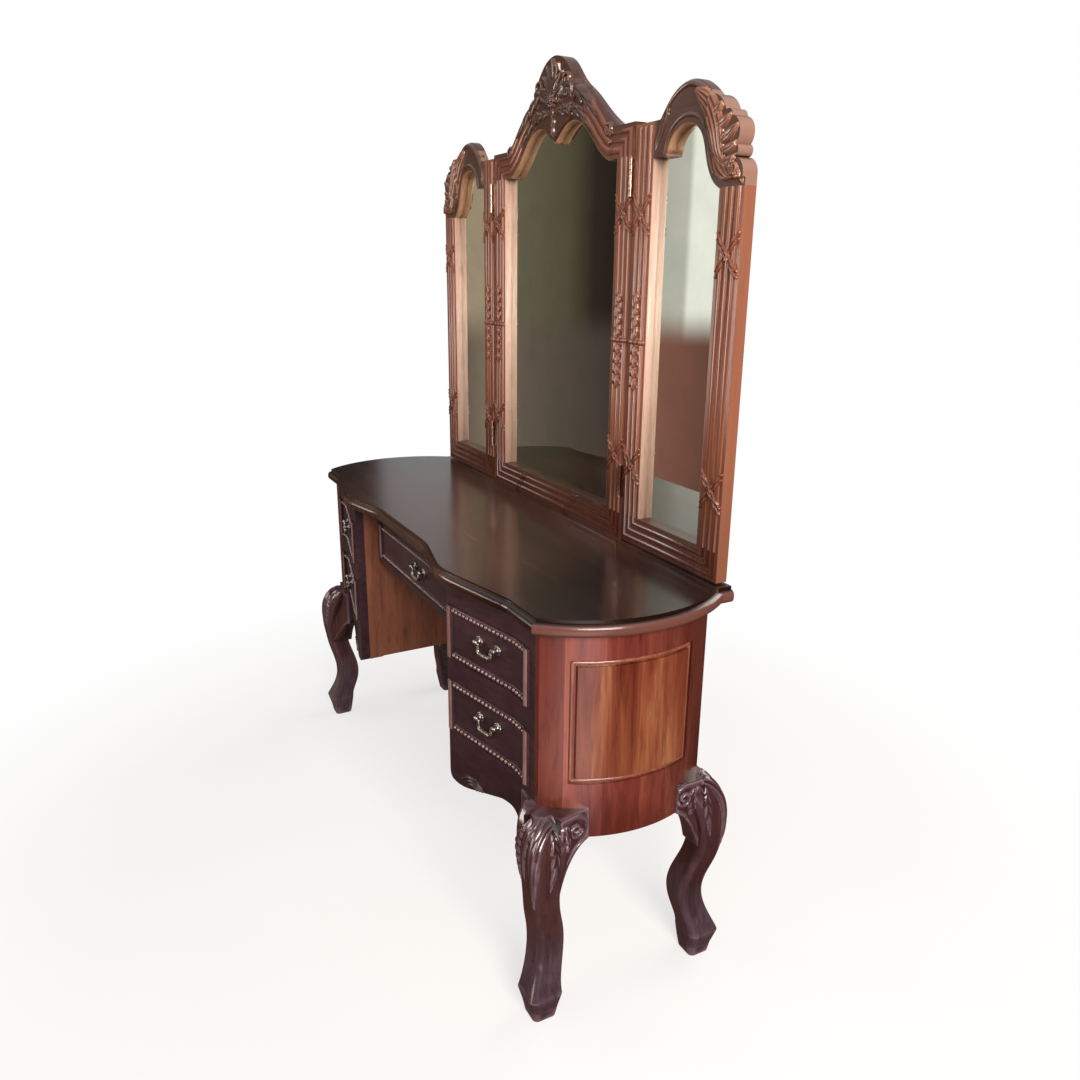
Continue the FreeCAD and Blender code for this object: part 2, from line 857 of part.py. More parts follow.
run = S.shoulder_x - S.peak_x
slope = math.degrees(math.atan2(S.peak_front - S.outer_front, run))
middle_x = (S.inner_x + S.inner_stile + S.drawer_end) / 2
edge_y = -S.peak_front + (S.peak_front - S.outer_front) * (middle_x - S.peak_x) / run
front_y = edge_y + S.overhang / math.cos(math.radians(slope))
for name, low, high in (("upper", upper_low, upper_high), ("lower", lower_low, lower_high)):
    height = (low + high) / 2 + S.pull_rise
    for side, sign in (("right", 1), ("left", -1)):
        turn = FreeCAD.Rotation(ALONG_Z, slope * sign)
        spot = Vector(middle_x * sign, front_y, height)
        pull_set(f"{name}_{side}", FreeCAD.Placement(spot, turn))
spot = Vector(0, flat_y, (centre_low + centre_high) / 2 + S.centre_pull_rise)
pull_set("centre", FreeCAD.Placement(spot, FreeCAD.Rotation()))

# Triple mirror: rebated frames cut into stiles, bottom rail and arched rail

mirror_back = S.back_y
face_y = S.mirror_front + S.reed_rise
base = S.top_height


def rebated(outline, opening):
    """A frame that shows the opening in front and holds the glass in a wider rebate behind."""
    front = slab(outline.cut(opening), ALONG_Y, face_y, S.glass_y)
    wider = opening.makeOffset2D(S.rebate)
    rear = slab(outline.cut(wider), ALONG_Y, S.glass_y, mirror_back)
    return front.fuse(rear).removeSplitter()


def glazing(opening):
    sheet_face = opening.makeOffset2D(S.rebate - S.rebate_play)
    behind = S.glass_y + S.glass_thick
    glass = slab(sheet_face, ALONG_Y, S.glass_y, behind)
    backing = slab(sheet_face, ALONG_Y, behind, mirror_back)
    return glass, backing


def reeded(stile, low_x, high_x, low, high):
    """Three reeds run up the front of a stile."""
    rise = S.reed_rise
    radius = (S.reed_half ** 2 + rise ** 2) / (2 * rise)
    middle = (low_x + high_x) / 2
    reeds = []
    for step in (-1, 0, 1):
        centre = Vector(middle + step * S.reed_pitch, S.mirror_front + radius, low)
        rod = Part.makeCylinder(radius, high - low, centre, ALONG_Z)
        front = block((low_x, S.mirror_front, low), (high_x, face_y + 1, high))
        reeds.append(rod.common(front))
    return stile.fuse(reeds).removeSplitter()


def between(shape, low_x, high_x, low, high):
    return shape.common(block((low_x, 0, low), (high_x, mirror_back, high)))


def rounded_brow(shape, curve, radius):
    """Rounds the front arris along a smooth curve of the outline."""
    guide = Part.Wire(flowing_run(curve, on_front))
    guide.translate(ALONG_Y * face_y)
    arris = []
    for edge in shape.Edges:
        middle = edge.valueAt((edge.FirstParameter + edge.LastParameter) / 2)
        if guide.distToShape(Part.Vertex(middle))[0] < 0.01:
            arris.append(edge)
    return shape.makeFillet(radius, arris)


edge_x = S.joint_x - S.joint_gap / 2
open_x = edge_x - S.stile_wide
spring = base + S.spring_tall
foot = base - S.housing_deep
shoulder = spring + S.shoulder_rise
rail_high = base + S.bottom_rail
crest_half = [
    (S.sweep_x, shoulder),
    (S.slope_x, spring + S.slope_rise),
    (S.bluff_x, spring + S.bluff_rise),
    (S.crown_foot_x, spring + S.crown_foot_rise),
    (S.crown_x, spring + S.crown_rise),
]
crest_curve = crest_half + [(0, spring + S.crest_rise)]
crest_curve += [(-x, z) for x, z in reversed(crest_half)]


def crest_face(low):
    """The crest's ogee over two straight shoulders, closed at a level below."""
    edges = line_run([(-edge_x, shoulder), (-edge_x, low), (edge_x, low)], on_front)
    edges += line_run([(edge_x, low), (edge_x, shoulder), (S.sweep_x, shoulder)], on_front)
    edges += flowing_run(crest_curve, on_front)
    edges += line_run([(-S.sweep_x, shoulder), (-edge_x, shoulder)], on_front)
    return Part.Face(Part.Wire(Part.__sortEdges__(edges)))


centre_outline = crest_face(foot)
arch_half = [
    (S.arch_turn_x, spring),
    (S.arch_slope_x, spring + S.arch_slope_rise),
    (S.arch_brow_x, spring + S.arch_brow_rise),
    (S.arch_x, spring + S.arch_rise),
    (S.arch_fall_x, spring + S.arch_fall_rise),
    (0, spring + S.cusp_rise),
]
other_half = [(-x, z) for x, z in reversed(arch_half)]
sill = [(-open_x, spring), (-open_x, rail_high), (open_x, rail_high), (open_x, spring)]
edges = line_run(other_half[-1:] + sill + arch_half[:1], on_front)
edges += flowing_run(arch_half, on_front) + flowing_run(other_half, on_front)
centre_opening = Part.Face(Part.Wire(edges))
centre_frame = rebated(centre_outline, centre_opening)
stiles = []
for sign in (-1, 1):
    low_x, high_x = sorted((sign * open_x, sign * edge_x))
    stile = between(centre_frame, low_x, high_x, foot, spring)
    stiles.append(reeded(stile, low_x, high_x, rail_high, spring))
feature("mirror_stiles", Part.makeCompound([solid for stile in stiles for solid in stile.Solids]))
feature("mirror_bottom_rail", between(centre_frame, -open_x, open_x, foot, rail_high))
crest = between(centre_frame, -edge_x, edge_x, spring, spring + S.crest_rise)
crest = rounded_brow(crest, crest_curve, S.crest_round)
boss = slab(crest_face(spring), ALONG_Y, face_y - S.crest_boss_rise, S.glass_y)
disc = Part.makeCylinder(
    S.crest_boss, S.glass_y, Vector(0, 0, spring + S.crest_boss_lift), ALONG_Y
)
boss = boss.common(disc).cut(slab(centre_opening, ALONG_Y, 0, mirror_back))
feature("mirror_crest", crest.fuse(boss).removeSplitter())
glass, backing = glazing(centre_opening)
feature("mirror_glass", glass)
feature("mirror_back_board", backing)

wing_low = base + S.wing_lift
wing_edge = S.joint_x + S.joint_gap / 2
wing_open = wing_edge + S.stile_wide
wing_end = S.wing_x - S.wing_stile
outer_high = spring - S.wing_fall
inner_high = outer_high + S.wing_spring_rise
wing_shoulder = outer_high + S.wing_shoulder_rise


def over_stile(x, rise):
    return (x, outer_high + rise)


brow = [
    over_stile(S.drape_x, S.drape_rise),
    over_stile(S.wing_fall_x, S.wing_fall_rise),
    over_stile(S.wing_peak_x, S.wing_peak_rise),
    over_stile(S.wing_rise_x, S.wing_rise_rise),
    over_stile(S.wing_brow_x, S.wing_brow_rise),
    (S.wing_step_x, wing_shoulder),
]
scallops = [
    (over_stile(S.wing_x, S.stile_top_rise), S.stile_top_bulge),
    (over_stile(S.lobe_four_x, S.lobe_four_rise), S.lobe_four_bulge),
    (over_stile(S.lobe_three_x, S.lobe_three_rise), S.lobe_three_bulge),
    (over_stile(S.lobe_two_x, S.lobe_two_rise), S.lobe_two_bulge),
    (over_stile(S.lobe_one_x, S.lobe_one_rise), S.lobe_one_bulge),
]
tips = [spot for spot, _ in scallops] + brow[:1]
edges = line_run([(wing_edge, wing_low), (S.wing_x, wing_low), tips[0]], on_front)
for (start, bulge), end in zip(scallops, tips[1:]):
    edges.append(bulging_edge(start, end, bulge, on_front))
edges += flowing_run(brow, on_front)
edges += line_run([brow[-1], (wing_edge, wing_shoulder), (wing_edge, wing_low)], on_front)
wing_outline = Part.Face(Part.Wire(edges))
wing_sill = wing_low + S.bottom_rail
arch_line = [
    (wing_end, outer_high),
    over_stile(S.wing_tuck_x, S.wing_tuck_rise),
    over_stile(S.wing_hang_x, S.wing_hang_rise),
    over_stile(S.wing_arch_out, S.wing_arch_out_rise),
    over_stile(S.wing_arch_x, S.wing_arch_rise),
    over_stile(S.wing_arch_in, S.wing_arch_in_rise),
    (S.wing_arch_foot, inner_high),
]
sill = [(wing_open, inner_high), (wing_open, wing_sill), (wing_end, wing_sill), (wing_end, outer_high)]
edges = line_run([(S.wing_arch_foot, inner_high)] + sill, on_front)
edges += flowing_run(arch_line, on_front)
wing_opening = Part.Face(Part.Wire(edges))
wing_frame = rebated(wing_outline, wing_opening)
far_x = S.wing_x + 1
inner_stile = between(wing_frame, wing_edge, wing_open, wing_low, inner_high)
inner_stile = reeded(inner_stile, wing_edge, wing_open, wing_sill, inner_high)
outer_stile = between(wing_frame, wing_end, far_x, wing_low, outer_high)
outer_stile = reeded(outer_stile, wing_end, S.wing_x, wing_sill, outer_high)
pair("wing_stiles", Part.makeCompound(inner_stile.Solids + outer_stile.Solids))
pair("wing_bottom_rail", between(wing_frame, wing_open, wing_end, wing_low, wing_sill))
top_z = outer_high + S.wing_peak_rise + 1
arch = between(wing_frame, wing_edge, far_x, inner_high, top_z)
arch = rounded_brow(arch, brow, S.brow_round)
arch_low = between(wing_frame, wing_open, far_x, outer_high, inner_high)
leaf_face = wing_outline.cut(wing_opening.makeOffset2D(S.leaf_border))
leaf = slab(leaf_face, ALONG_Y, face_y - S.lobe_rise, S.glass_y)
leaf_low = outer_high + S.leaf_border
leaf = between(leaf, S.drape_x, far_x, leaf_low, top_z)
pair("wing_arch", arch.fuse([arch_low, leaf]).removeSplitter())
glass, backing = glazing(wing_opening)
pair("wing_glass", glass)
pair("wing_back_board", backing)

# Butt hinges: two pairs of leaves at each joint, five knuckles each, turning on a pin

def hinge_leaf(low, fixed):
    axis = Vector(S.joint_x, S.mirror_front - S.hinge_out, low)
    side = -1 if fixed else 1
    inner = S.joint_x + side * (S.joint_gap / 2 - S.leaf_thick)
    outer = S.joint_x + side * S.joint_gap / 2
    low_x, high_x = sorted((inner, outer))
    tall = 5 * S.knuckle_tall
    leaf = block((low_x, axis.y, low), (high_x, axis.y + S.leaf_deep, low + tall))
    for index in range(5):
        foot = low + index * S.knuckle_tall
        mine = (index % 2 == 0) == fixed
        if mine:
            gap = S.knuckle_gap / 2
            start = Vector(axis.x, axis.y, foot + gap)
            knuckle = Part.makeCylinder(S.barrel_radius, S.knuckle_tall - 2 * gap, start, ALONG_Z)
            leaf = leaf.fuse(knuckle)
        else:
            room = Part.makeCylinder(
                S.barrel_radius + S.knuckle_gap,
                S.knuckle_tall + S.knuckle_gap,
                Vector(axis.x, axis.y, foot - S.knuckle_gap / 2),
                ALONG_Z,
            )
            leaf = leaf.cut(room)
    if fixed:
        pin = Part.makeCylinder(S.pin_radius, tall, axis, ALONG_Z)
        return leaf.fuse(pin).removeSplitter()
    bore = Part.makeCylinder(S.pin_radius + S.pin_play, tall, axis, ALONG_Z)
    return leaf.cut(bore).removeSplitter()


for name, fixed in (("hinge_fixed", True), ("hinge_wing", False)):
    heights = (base + S.hinge_low, spring - S.hinge_under)
    leaves = [hinge_leaf(low, fixed) for low in heights]
    pair(name, Part.makeCompound([solid for leaf in leaves for solid in leaf.Solids]))

# Steel straps that hold the mirror to the back edge of the top

straps = []
for label, corner in (("strap_right", "strap_x"), ("strap_left", "-strap_x - strap_wide")):
    strap = board(
        label,
        (corner, "back_y", "top_height - strap_below"),
        ("strap_wide", "strap_thick", "strap_below + strap_above"),
    )
    straps.append(strap)
strap_group = doc.addObject("Part::Compound", "mirror_straps")
strap_group.Links = straps
NODES.append(strap_group)

# Check every piece and write it out

doc.recompute()
os.makedirs("parts", exist_ok=True)
for node in NODES:
    state = " ".join(node.State)
    if "Invalid" in state or "Error" in state:
        raise RuntimeError(f"{node.Label}: {state}")
    if node.Shape.isNull() or not node.Shape.isValid():
        raise RuntimeError(f"{node.Label}: bad shape")
    if not node.Shape.Solids:
        raise RuntimeError(f"{node.Label}: no solid")
    node.Shape.exportStep(f"parts/{node.Label}.step")
print(len(NODES), "pieces written")
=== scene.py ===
import math

import bpy
import numpy as np
from mathutils import Matrix, Vector
from mathutils.bvhtree import BVHTree


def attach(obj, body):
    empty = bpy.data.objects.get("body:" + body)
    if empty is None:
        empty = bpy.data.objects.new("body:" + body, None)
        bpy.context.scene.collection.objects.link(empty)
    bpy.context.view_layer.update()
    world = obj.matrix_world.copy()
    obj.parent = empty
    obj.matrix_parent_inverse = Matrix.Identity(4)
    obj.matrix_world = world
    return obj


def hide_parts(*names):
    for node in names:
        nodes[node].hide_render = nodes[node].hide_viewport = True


# A vanity desk with a folding triple mirror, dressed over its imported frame.
# Lengths are given in millimetres and turned to metres where a mesh is made.

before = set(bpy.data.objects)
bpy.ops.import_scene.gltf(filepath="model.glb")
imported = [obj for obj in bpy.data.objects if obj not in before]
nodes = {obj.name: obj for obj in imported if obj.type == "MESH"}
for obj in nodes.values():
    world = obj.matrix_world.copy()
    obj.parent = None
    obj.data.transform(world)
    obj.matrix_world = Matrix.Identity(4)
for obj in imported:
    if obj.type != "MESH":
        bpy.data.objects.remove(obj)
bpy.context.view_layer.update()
MM = 0.001
SIDES = (("right", 1), ("left", -1))
LEVELS = ("upper", "lower")


# Colours and shader nodes

def linear(code):
    """A colour written as sRGB hex, as linear light."""
    parts = [int(code[i:i + 2], 16) / 255 for i in (1, 3, 5)]
    return [p / 12.92 if p <= 0.04045 else ((p + 0.055) / 1.055) ** 2.4 for p in parts] + [1.0]


def add(tree, kind, ins=None, stops=None, **settings):
    """A node with its settings: each input takes a value, or the output or node that feeds it."""
    made = tree.nodes.new(kind)
    for name, value in settings.items():
        setattr(made, name, value)
    for key, value in (ins or {}).items():
        if isinstance(value, bpy.types.Node):
            value = next(out for out in value.outputs if out.enabled)
        if isinstance(value, bpy.types.NodeSocket):
            tree.links.new(value, made.inputs[key])
        else:
            made.inputs[key].default_value = value
    if stops:
        marks = made.color_ramp.elements
        while len(marks) < len(stops):
            marks.new(1.0)
        for mark, (spot, code) in zip(marks, stops):
            mark.position = spot
            mark.color = linear(code)
    return made


def fresh(name):
    made = bpy.data.materials.new(name)
    made.use_nodes = True
    made.node_tree.nodes.clear()
    return made, made.node_tree


# Figure of wood: clouds, streaks and pores, each with its width and length against those of a streak, its
# fineness and its twist
FIGURE = ((9, 2.6, 2, 0.3), (1, 1, 5, 0.7), (0.3, 0.22, 2, 0.0))
PORE_TONES = [(0.3, "#a89a94"), (0.46, "#ffffff")]
BOARD_TONES = [(0.0, "#a88f86"), (0.35, "#d9c6be"), (0.7, "#f4e6de"), (1.0, "#ffffff")]
EDGE_FADE = 3
FIBRE_DEPTH = 0.6
MIXED = {"data_type": "RGBA"}
TINTED = {"data_type": "RGBA", "blend_type": "MULTIPLY"}


def timber(name, stops, grain, across, along, rough, coat, gloss=0.5, carved=None, boards=0, edge=None,
           fibre=0.12, deep=None):
    """Stained and lacquered wood. grain is the axis the fibres run along; across and along are the
    width and length of a streak in mm; rough is the span of its polish; coat is the share of lacquer; gloss
    is the shine of the wood itself; carved gives the colours of painted shade in the hollows and of painted
    highlights on the ridges; boards is the width in mm of joined boards side by side in Y, each of its own
    tone;
    edge is a height in mm below which the faces turned to the ends in X are painted a lighter colour, as
    painted light; fibre is how strongly the grain is felt; deep is a darker tint that the colour goes to,
    painted shade on some woods and a plain darker tone on others, with the axis, the start and end in mm and
    the share of each run over which it does."""
    made, tree = fresh(name)
    coords = add(tree, "ShaderNodeTexCoord").outputs
    layers = []
    for wide, tall, detail, twist in FIGURE:
        scale = [1 / (MM * (along * tall if axis == grain else across * wide)) for axis in "XYZ"]
        laid = add(tree, "ShaderNodeMapping", {"Vector": coords["Object"], "Scale": scale})
        layers.append(add(tree, "ShaderNodeTexNoise", {
            "Vector": laid, "Scale": 1.0, "Detail": detail, "Roughness": 0.6, "Distortion": twist}))
    broad, streak, pores = layers
    figure = add(tree, "ShaderNodeMix", {0: 0.55, 2: broad, 3: streak})
    tone = add(tree, "ShaderNodeValToRGB", {"Fac": figure}, stops)
    pits = add(tree, "ShaderNodeValToRGB", {"Fac": pores}, PORE_TONES)
    colour = add(tree, "ShaderNodeMix", {0: 0.45, 6: tone, 7: pits}, **TINTED)
    where = add(tree, "ShaderNodeSeparateXYZ", {0: coords["Object"]}).outputs
    if boards:
        number = add(tree, "ShaderNodeMath", {0: where[1], 1: boards * MM}, operation="SNAP")
        chance = add(tree, "ShaderNodeTexWhiteNoise", {"W": number}, noise_dimensions="1D")
        shade = add(tree, "ShaderNodeValToRGB", {"Fac": chance}, BOARD_TONES)
        colour = add(tree, "ShaderNodeMix", {0: 1.0, 6: colour, 7: shade}, **TINTED)
    # A darker tint along runs of the axes: painted shade on some woods, a darker tone on others.
    if deep:
        share = 0.0
        for axis, start, end, most in deep[1]:
            run = add(tree, "ShaderNodeMapRange", {
                0: where["XYZ".index(axis)], 1: start * MM, 2: end * MM, 3: 0.0, 4: most},
                interpolation_type="SMOOTHSTEP")
            share = add(tree, "ShaderNodeMath", {0: share, 1: run}, operation="MAXIMUM")
        tint = add(tree, "ShaderNodeMix", {0: share, 6: linear("#ffffff"), 7: linear(deep[0])}, **MIXED)
        colour = add(tree, "ShaderNodeMix", {0: 1.0, 6: colour, 7: tint}, **TINTED)
    # Painted light: faces turned to the ends in X, below the edge height, get a lighter colour.
    if edge:
        facing = add(tree, "ShaderNodeSeparateXYZ", {0: coords["Normal"]}).outputs
        ends = add(tree, "ShaderNodeMath", {0: facing[0]}, operation="ABSOLUTE")
        outer = add(tree, "ShaderNodeMapRange", {0: ends, 1: 0.3, 2: 0.65, 3: 0.0, 4: 0.6})
        under = add(tree, "ShaderNodeMapRange", {0: where[2], 1: edge[0] * MM, 2: (edge[0] - EDGE_FADE) * MM})
        share = add(tree, "ShaderNodeMath", {0: outer, 1: under}, operation="MULTIPLY")
        colour = add(tree, "ShaderNodeMix", {0: share, 6: colour, 7: linear(edge[1])}, **MIXED)
    # Painted shade in the hollows and painted highlights on the ridges, by the pointiness of the mesh.
    if carved:
        bend = add(tree, "ShaderNodeNewGeometry").outputs["Pointiness"]
        low = add(tree, "ShaderNodeMapRange", {0: bend, 1: 0.5, 2: 0.455, 3: 0.0, 4: 0.85})
        high = add(tree, "ShaderNodeMapRange", {0: bend, 1: 0.505, 2: 0.56, 3: 0.0, 4: 0.8})
        colour = add(tree, "ShaderNodeMix", {0: low, 6: colour, 7: linear(carved[0])}, **MIXED)
        colour = add(tree, "ShaderNodeMix", {0: high, 6: colour, 7: linear(carved[1])}, **MIXED)
    polish = add(tree, "ShaderNodeMapRange", {0: figure, 1: 0.3, 2: 0.7, 3: rough[0], 4: rough[1]})
    fibres = add(tree, "ShaderNodeMix", {0: 0.4, 2: streak, 3: pores})
    bump = add(tree, "ShaderNodeBump", {"Strength": fibre, "Distance": FIBRE_DEPTH * MM, "Height": fibres})
    shader = add(tree, "ShaderNodeBsdfPrincipled", {
        "Base Color": colour, "Roughness": polish, "Normal": bump,
        "Specular IOR Level": gloss, "Coat Weight": coat, "Coat Roughness": 0.16})
    add(tree, "ShaderNodeOutputMaterial", {0: shader})
    return made


GRIT_DEPTH = 0.3


def metal(name, dark, light, rough, grit):
    """Old hardware: duller and rubbed brighter in random patches; grit is the patch size in mm."""
    made, tree = fresh(name)
    spot = add(tree, "ShaderNodeTexCoord").outputs["Object"]
    patch = add(tree, "ShaderNodeTexNoise", {"Vector": spot, "Scale": 1 / (grit * MM), "Detail": 4.0})
    fine = add(tree, "ShaderNodeTexNoise", {"Vector": spot, "Scale": 6 / (grit * MM), "Detail": 2.0})
    tone = add(tree, "ShaderNodeValToRGB", {"Fac": patch}, [(0.35, dark), (0.62, light)])
    polish = add(tree, "ShaderNodeMapRange", {0: fine, 1: 0.3, 2: 0.7, 3: rough[0], 4: rough[1]})
    bump = add(tree, "ShaderNodeBump", {"Strength": 0.15, "Distance": GRIT_DEPTH * MM, "Height": fine})
    shader = add(tree, "ShaderNodeBsdfPrincipled", {
        "Base Color": tone, "Metallic": 1.0, "Roughness": polish, "Normal": bump})
    add(tree, "ShaderNodeOutputMaterial", {0: shader})
    return made


# Mahogany of the top, dark stain under a polished lacquer: almost black brown, long faint streaks, with
# painted shade darkening it towards either end in X and a painted highlight on the moulded edge at the ends.
top_wood = timber("mahogany_top_lacquer", [(0.3, "#2c1916"), (0.5, "#43281f"), (0.7, "#573628")],
                  "X", 16, 420, (0.18, 0.28), 0.36, 0.45, edge=(753, "#8a5a52"),
                  deep=("#8f7f7c", [("X", 300, 520, 1.0), ("X", -350, -560, 0.8)]))
# Mahogany of the fronts, the same dark stain with a purple cast, satin; painted shade darkens the left
# pedestal.
front_wood = timber("mahogany_dark_stain", [(0.3, "#2a1a1f"), (0.52, "#3e2a30"), (0.72, "#523639")],
                    "X", 11, 260, (0.28, 0.4), 0.15, 0.35, deep=("#cfc6ca", [("X", -300, -420, 1.0)]))
# Pale end strips on the fronts: a pale pinkish brown painted on them as a painted highlight.
strip_highlight_wood = timber("mahogany_strip_painted_highlight", [(0.3, "#6f5150"), (0.5, "#8d6b69"), (0.7, "#a58785")],
                     "Z", 5, 60, (0.18, 0.3), 0.5, 0.5)
# Pearls: pale like the strips, a painted highlight, but polished, so each carries one bright point.
pearl_wood = timber("mahogany_polished_pearl", [(0.3, "#6d5050"), (0.5, "#8f6f6c"), (0.7, "#ab8d8a")],
                    "Z", 5, 60, (0.08, 0.16), 1.0, 0.8)
# Rails and posts round the bowed ends: redder stain, upright grain, with painted shade towards the back,
# where the bowed end turns from the light, and darker towards the bottom.
END_RUNS = [("Y", -120, 170, 1.0), ("Z", 500, 340, 0.8)]
end_wood = timber("mahogany_red_stain", [(0.36, "#6e332d"), (0.5, "#964d44"), (0.64, "#b06a58")],
                  "Z", 30, 300, (0.2, 0.3), 0.5, 0.45, boards=62, deep=("#938781", END_RUNS))
# Flame veneer of the end panels: upright orange and dark brown streaks, with the same painted shade towards
# the back and darker towards the bottom.
panel_wood = timber("mahogany_flame_veneer",
                    [(0.36, "#522419"), (0.46, "#803f2e"), (0.55, "#a06046"), (0.65, "#c48f68")],
                    "Z", 34, 360, (0.18, 0.3), 0.5, 0.45, boards=53, deep=("#c4aea6", END_RUNS))
# Bead round the end panels: the same red stain a little paler, a painted highlight, and glossier.
bead_wood = timber("mahogany_bead_painted_highlight", [(0.28, "#6e3a2e"), (0.5, "#935846"), (0.72, "#b07a64")],
                   "Z", 8, 120, (0.14, 0.24), 0.8, 0.5)
# Carved legs: dark and glossy, with painted shade in the hollows and cool painted highlights on the ridges;
# above the feet a warm darker tint, which leaves the feet a painted cool sheen.
leg_wood = timber("mahogany_carved_leg", [(0.3, "#2c2026"), (0.52, "#493a44"), (0.72, "#614f5a")],
                  "Z", 14, 240, (0.14, 0.24), 0.7, 0.6, carved=("#120808", "#806874"),
                  deep=("#ffd2ba", [("Z", 100, 200, 1.0)]))
# Mirror frame: lighter reddish brown, darker towards the bottom; the reeds shine where the lacquer reflects
# the window of the room.
FRAME_LOOK = ([(0.28, "#6a3524"), (0.5, "#92543c"), (0.72, "#b07153")], "Z", 12, 300, (0.16, 0.26), 0.7, 0.5)
FRAME_DEEP = ("#a08680", [("Z", 1060, 800, 1.0)])
frame_wood = timber("mahogany_mirror_frame", *FRAME_LOOK, deep=FRAME_DEEP)
# Stiles behind the reeds: the same wood, painted paler on their outer sides as painted light.
stile_wood = timber("mahogany_mirror_stile", *FRAME_LOOK, edge=(1500, "#a46e56"), deep=FRAME_DEEP)
# Bottom rails of the mirror: darker, with hardly any gloss.
RAIL_GRAIN = ("X", 12, 280, (0.24, 0.36), 0.3, 0.4)
rail_wood = timber("mahogany_mirror_rail", [(0.28, "#3f231b"), (0.5, "#533228"), (0.72, "#6a4235")],
                   *RAIL_GRAIN)
# Arches of the wings: golden brown over the inner stile, then the same dark rail, and pale and pinkish on the
# scallops of the outer end, as painted light on their sides.
arch_wood = timber("mahogany_wing_arch", [(0.28, "#79492f"), (0.5, "#9c6443"), (0.72, "#c48057")],
                   *RAIL_GRAIN, edge=(1580, "#bf9685"),
                   deep=("#8c89a6", [("X", 358, 374, 1.0), ("X", -358, -374, 1.0)]))
# Crest: the same dark rail, lighter on its two shoulders.
crest_wood = timber("mahogany_mirror_crest", [(0.28, "#5f382a"), (0.5, "#7a4c39"), (0.72, "#985f47")],
                    *RAIL_GRAIN, deep=("#b2b1bf", [("Z", 1515, 1565, 1.0)]))
# Carving on the mirror: painted shade in the hollows, painted copper brown highlights on the ridges.
carved_wood = timber("mahogany_mirror_carving", [(0.28, "#3c221b"), (0.5, "#513128"), (0.72, "#684335")],
                     "X", 10, 120, (0.16, 0.28), 0.7, 0.5, carved=("#190d0a", "#7a5849"))
# Leaf drapes of the wings: the same carving, lighter as painted light, with painted shade in the hollows and
# pale painted highlights on the ridges.
drape_wood = timber("mahogany_leaf_drape", [(0.28, "#653222"), (0.5, "#8a5139"), (0.72, "#a56a4c")],
                    "Z", 9, 120, (0.16, 0.28), 0.7, 0.5, carved=("#38190f", "#bb8a6e"))
# Pale slip between the frame and the glass, its paleness painted light of a lit reveal.
slip_wood = timber("glass_slip_pale", [(0.3, "#d0a38e"), (0.5, "#e2bdaa"), (0.7, "#edd0c0")],
                   "Z", 8, 200, (0.3, 0.4), 0.2, fibre=0.03)
# The same lining under the arches, painted darker to tan as painted shade.
tan_wood = timber("glass_slip_tan", [(0.3, "#9a7050"), (0.5, "#b98c6a"), (0.7, "#cda583")],
                  "X", 8, 200, (0.3, 0.4), 0.3, fibre=0.03)
# Sides of the kneehole: orange brown boards.
kneehole_wood = timber("mahogany_kneehole_board", [(0.28, "#66402d"), (0.5, "#8d5a46"), (0.75, "#a6725d")],
                       "Z", 34, 300, (0.32, 0.46), 0.15, 0.35)
# Drawer boxes, runners and backs: plain secondary wood, hardly finished.
inner_wood = timber("plain_secondary_wood", [(0.3, "#8a6242"), (0.5, "#a97d56"), (0.72, "#c09669")],
                    "Y", 14, 260, (0.5, 0.62), 0.0, 0.35, fibre=0.25)
back_wood = timber("plain_back_board", [(0.3, "#6d4a32"), (0.5, "#8a6143"), (0.72, "#a27a56")],
                   "Z", 18, 320, (0.5, 0.64), 0.0, 0.35, fibre=0.25)
# Antique pewter-coloured drop handles, hinges of nickel gone brown, straps of rolled steel.
handle_metal = metal("antique_handle_metal", "#5c5855", "#b4afa8", (0.28, 0.44), 5)
hinge_metal = metal("hinge_nickel", "#7a5c4c", "#b8988a", (0.14, 0.24), 6)
strap_metal = metal("strap_steel", "#5d5f62", "#83868a", (0.35, 0.5), 9)

# Silvered glass: a clear mirror with a faint cloud of dust that softens it here and there.
DUST_SIZE = 60
mirror_glass, tree = fresh("silvered_glass")
spot = add(tree, "ShaderNodeTexCoord").outputs["Object"]
dust = add(tree, "ShaderNodeTexNoise", {"Vector": spot, "Scale": 1 / (DUST_SIZE * MM), "Detail": 4.0})
silver = add(tree, "ShaderNodeValToRGB", {"Fac": dust}, [(0.3, "#dde3df"), (0.7, "#e9ece8")])
clear = add(tree, "ShaderNodeMapRange", {0: dust, 1: 0.4, 2: 0.75, 3: 0.004, 4: 0.03})
shader = add(tree, "ShaderNodeBsdfPrincipled", {"Base Color": silver, "Metallic": 1.0, "Roughness": clear})
add(tree, "ShaderNodeOutputMaterial", {0: shader})


# Mesh pieces

def mesh_of(name, points, faces):
    made = bpy.data.meshes.new(name)
    made.from_pydata([tuple(float(c) * MM for c in p) for p in points], [], faces)
    made.validate()
    return made


def piece(name, body, material, mesh, stands_for=()):
    """A finished piece: placed in its mesh, riding on a body."""
    made = bpy.data.objects.new(name, mesh)
    bpy.context.scene.collection.objects.link(made)
    mesh.materials.clear()
    mesh.materials.append(material)
    mesh.polygons.foreach_set("use_smooth", [True] * len(mesh.polygons))
    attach(made, body)
    if stands_for:
        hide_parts(*stands_for)
    return made


def both_sides(name, body, material, shape):
    """A piece and its mirror image in X. body names the right-hand body."""
    points, faces = shape
    for side, sign in SIDES:
        spots = [(p[0] * sign, p[1], p[2]) for p in points]
        loops = faces if sign == 1 else [tuple(reversed(f)) for f in faces]
        label = f"{name}_{side}"
        piece(label, body.replace("right", side), material, mesh_of(label, spots, loops))


def joined(shapes):
    """Several shapes as one."""
    points, faces = [], []
    for more, loops in shapes:
        faces += [tuple(i + len(points) for i in f) for f in loops]
        points += [tuple(p) for p in more]
    return points, faces


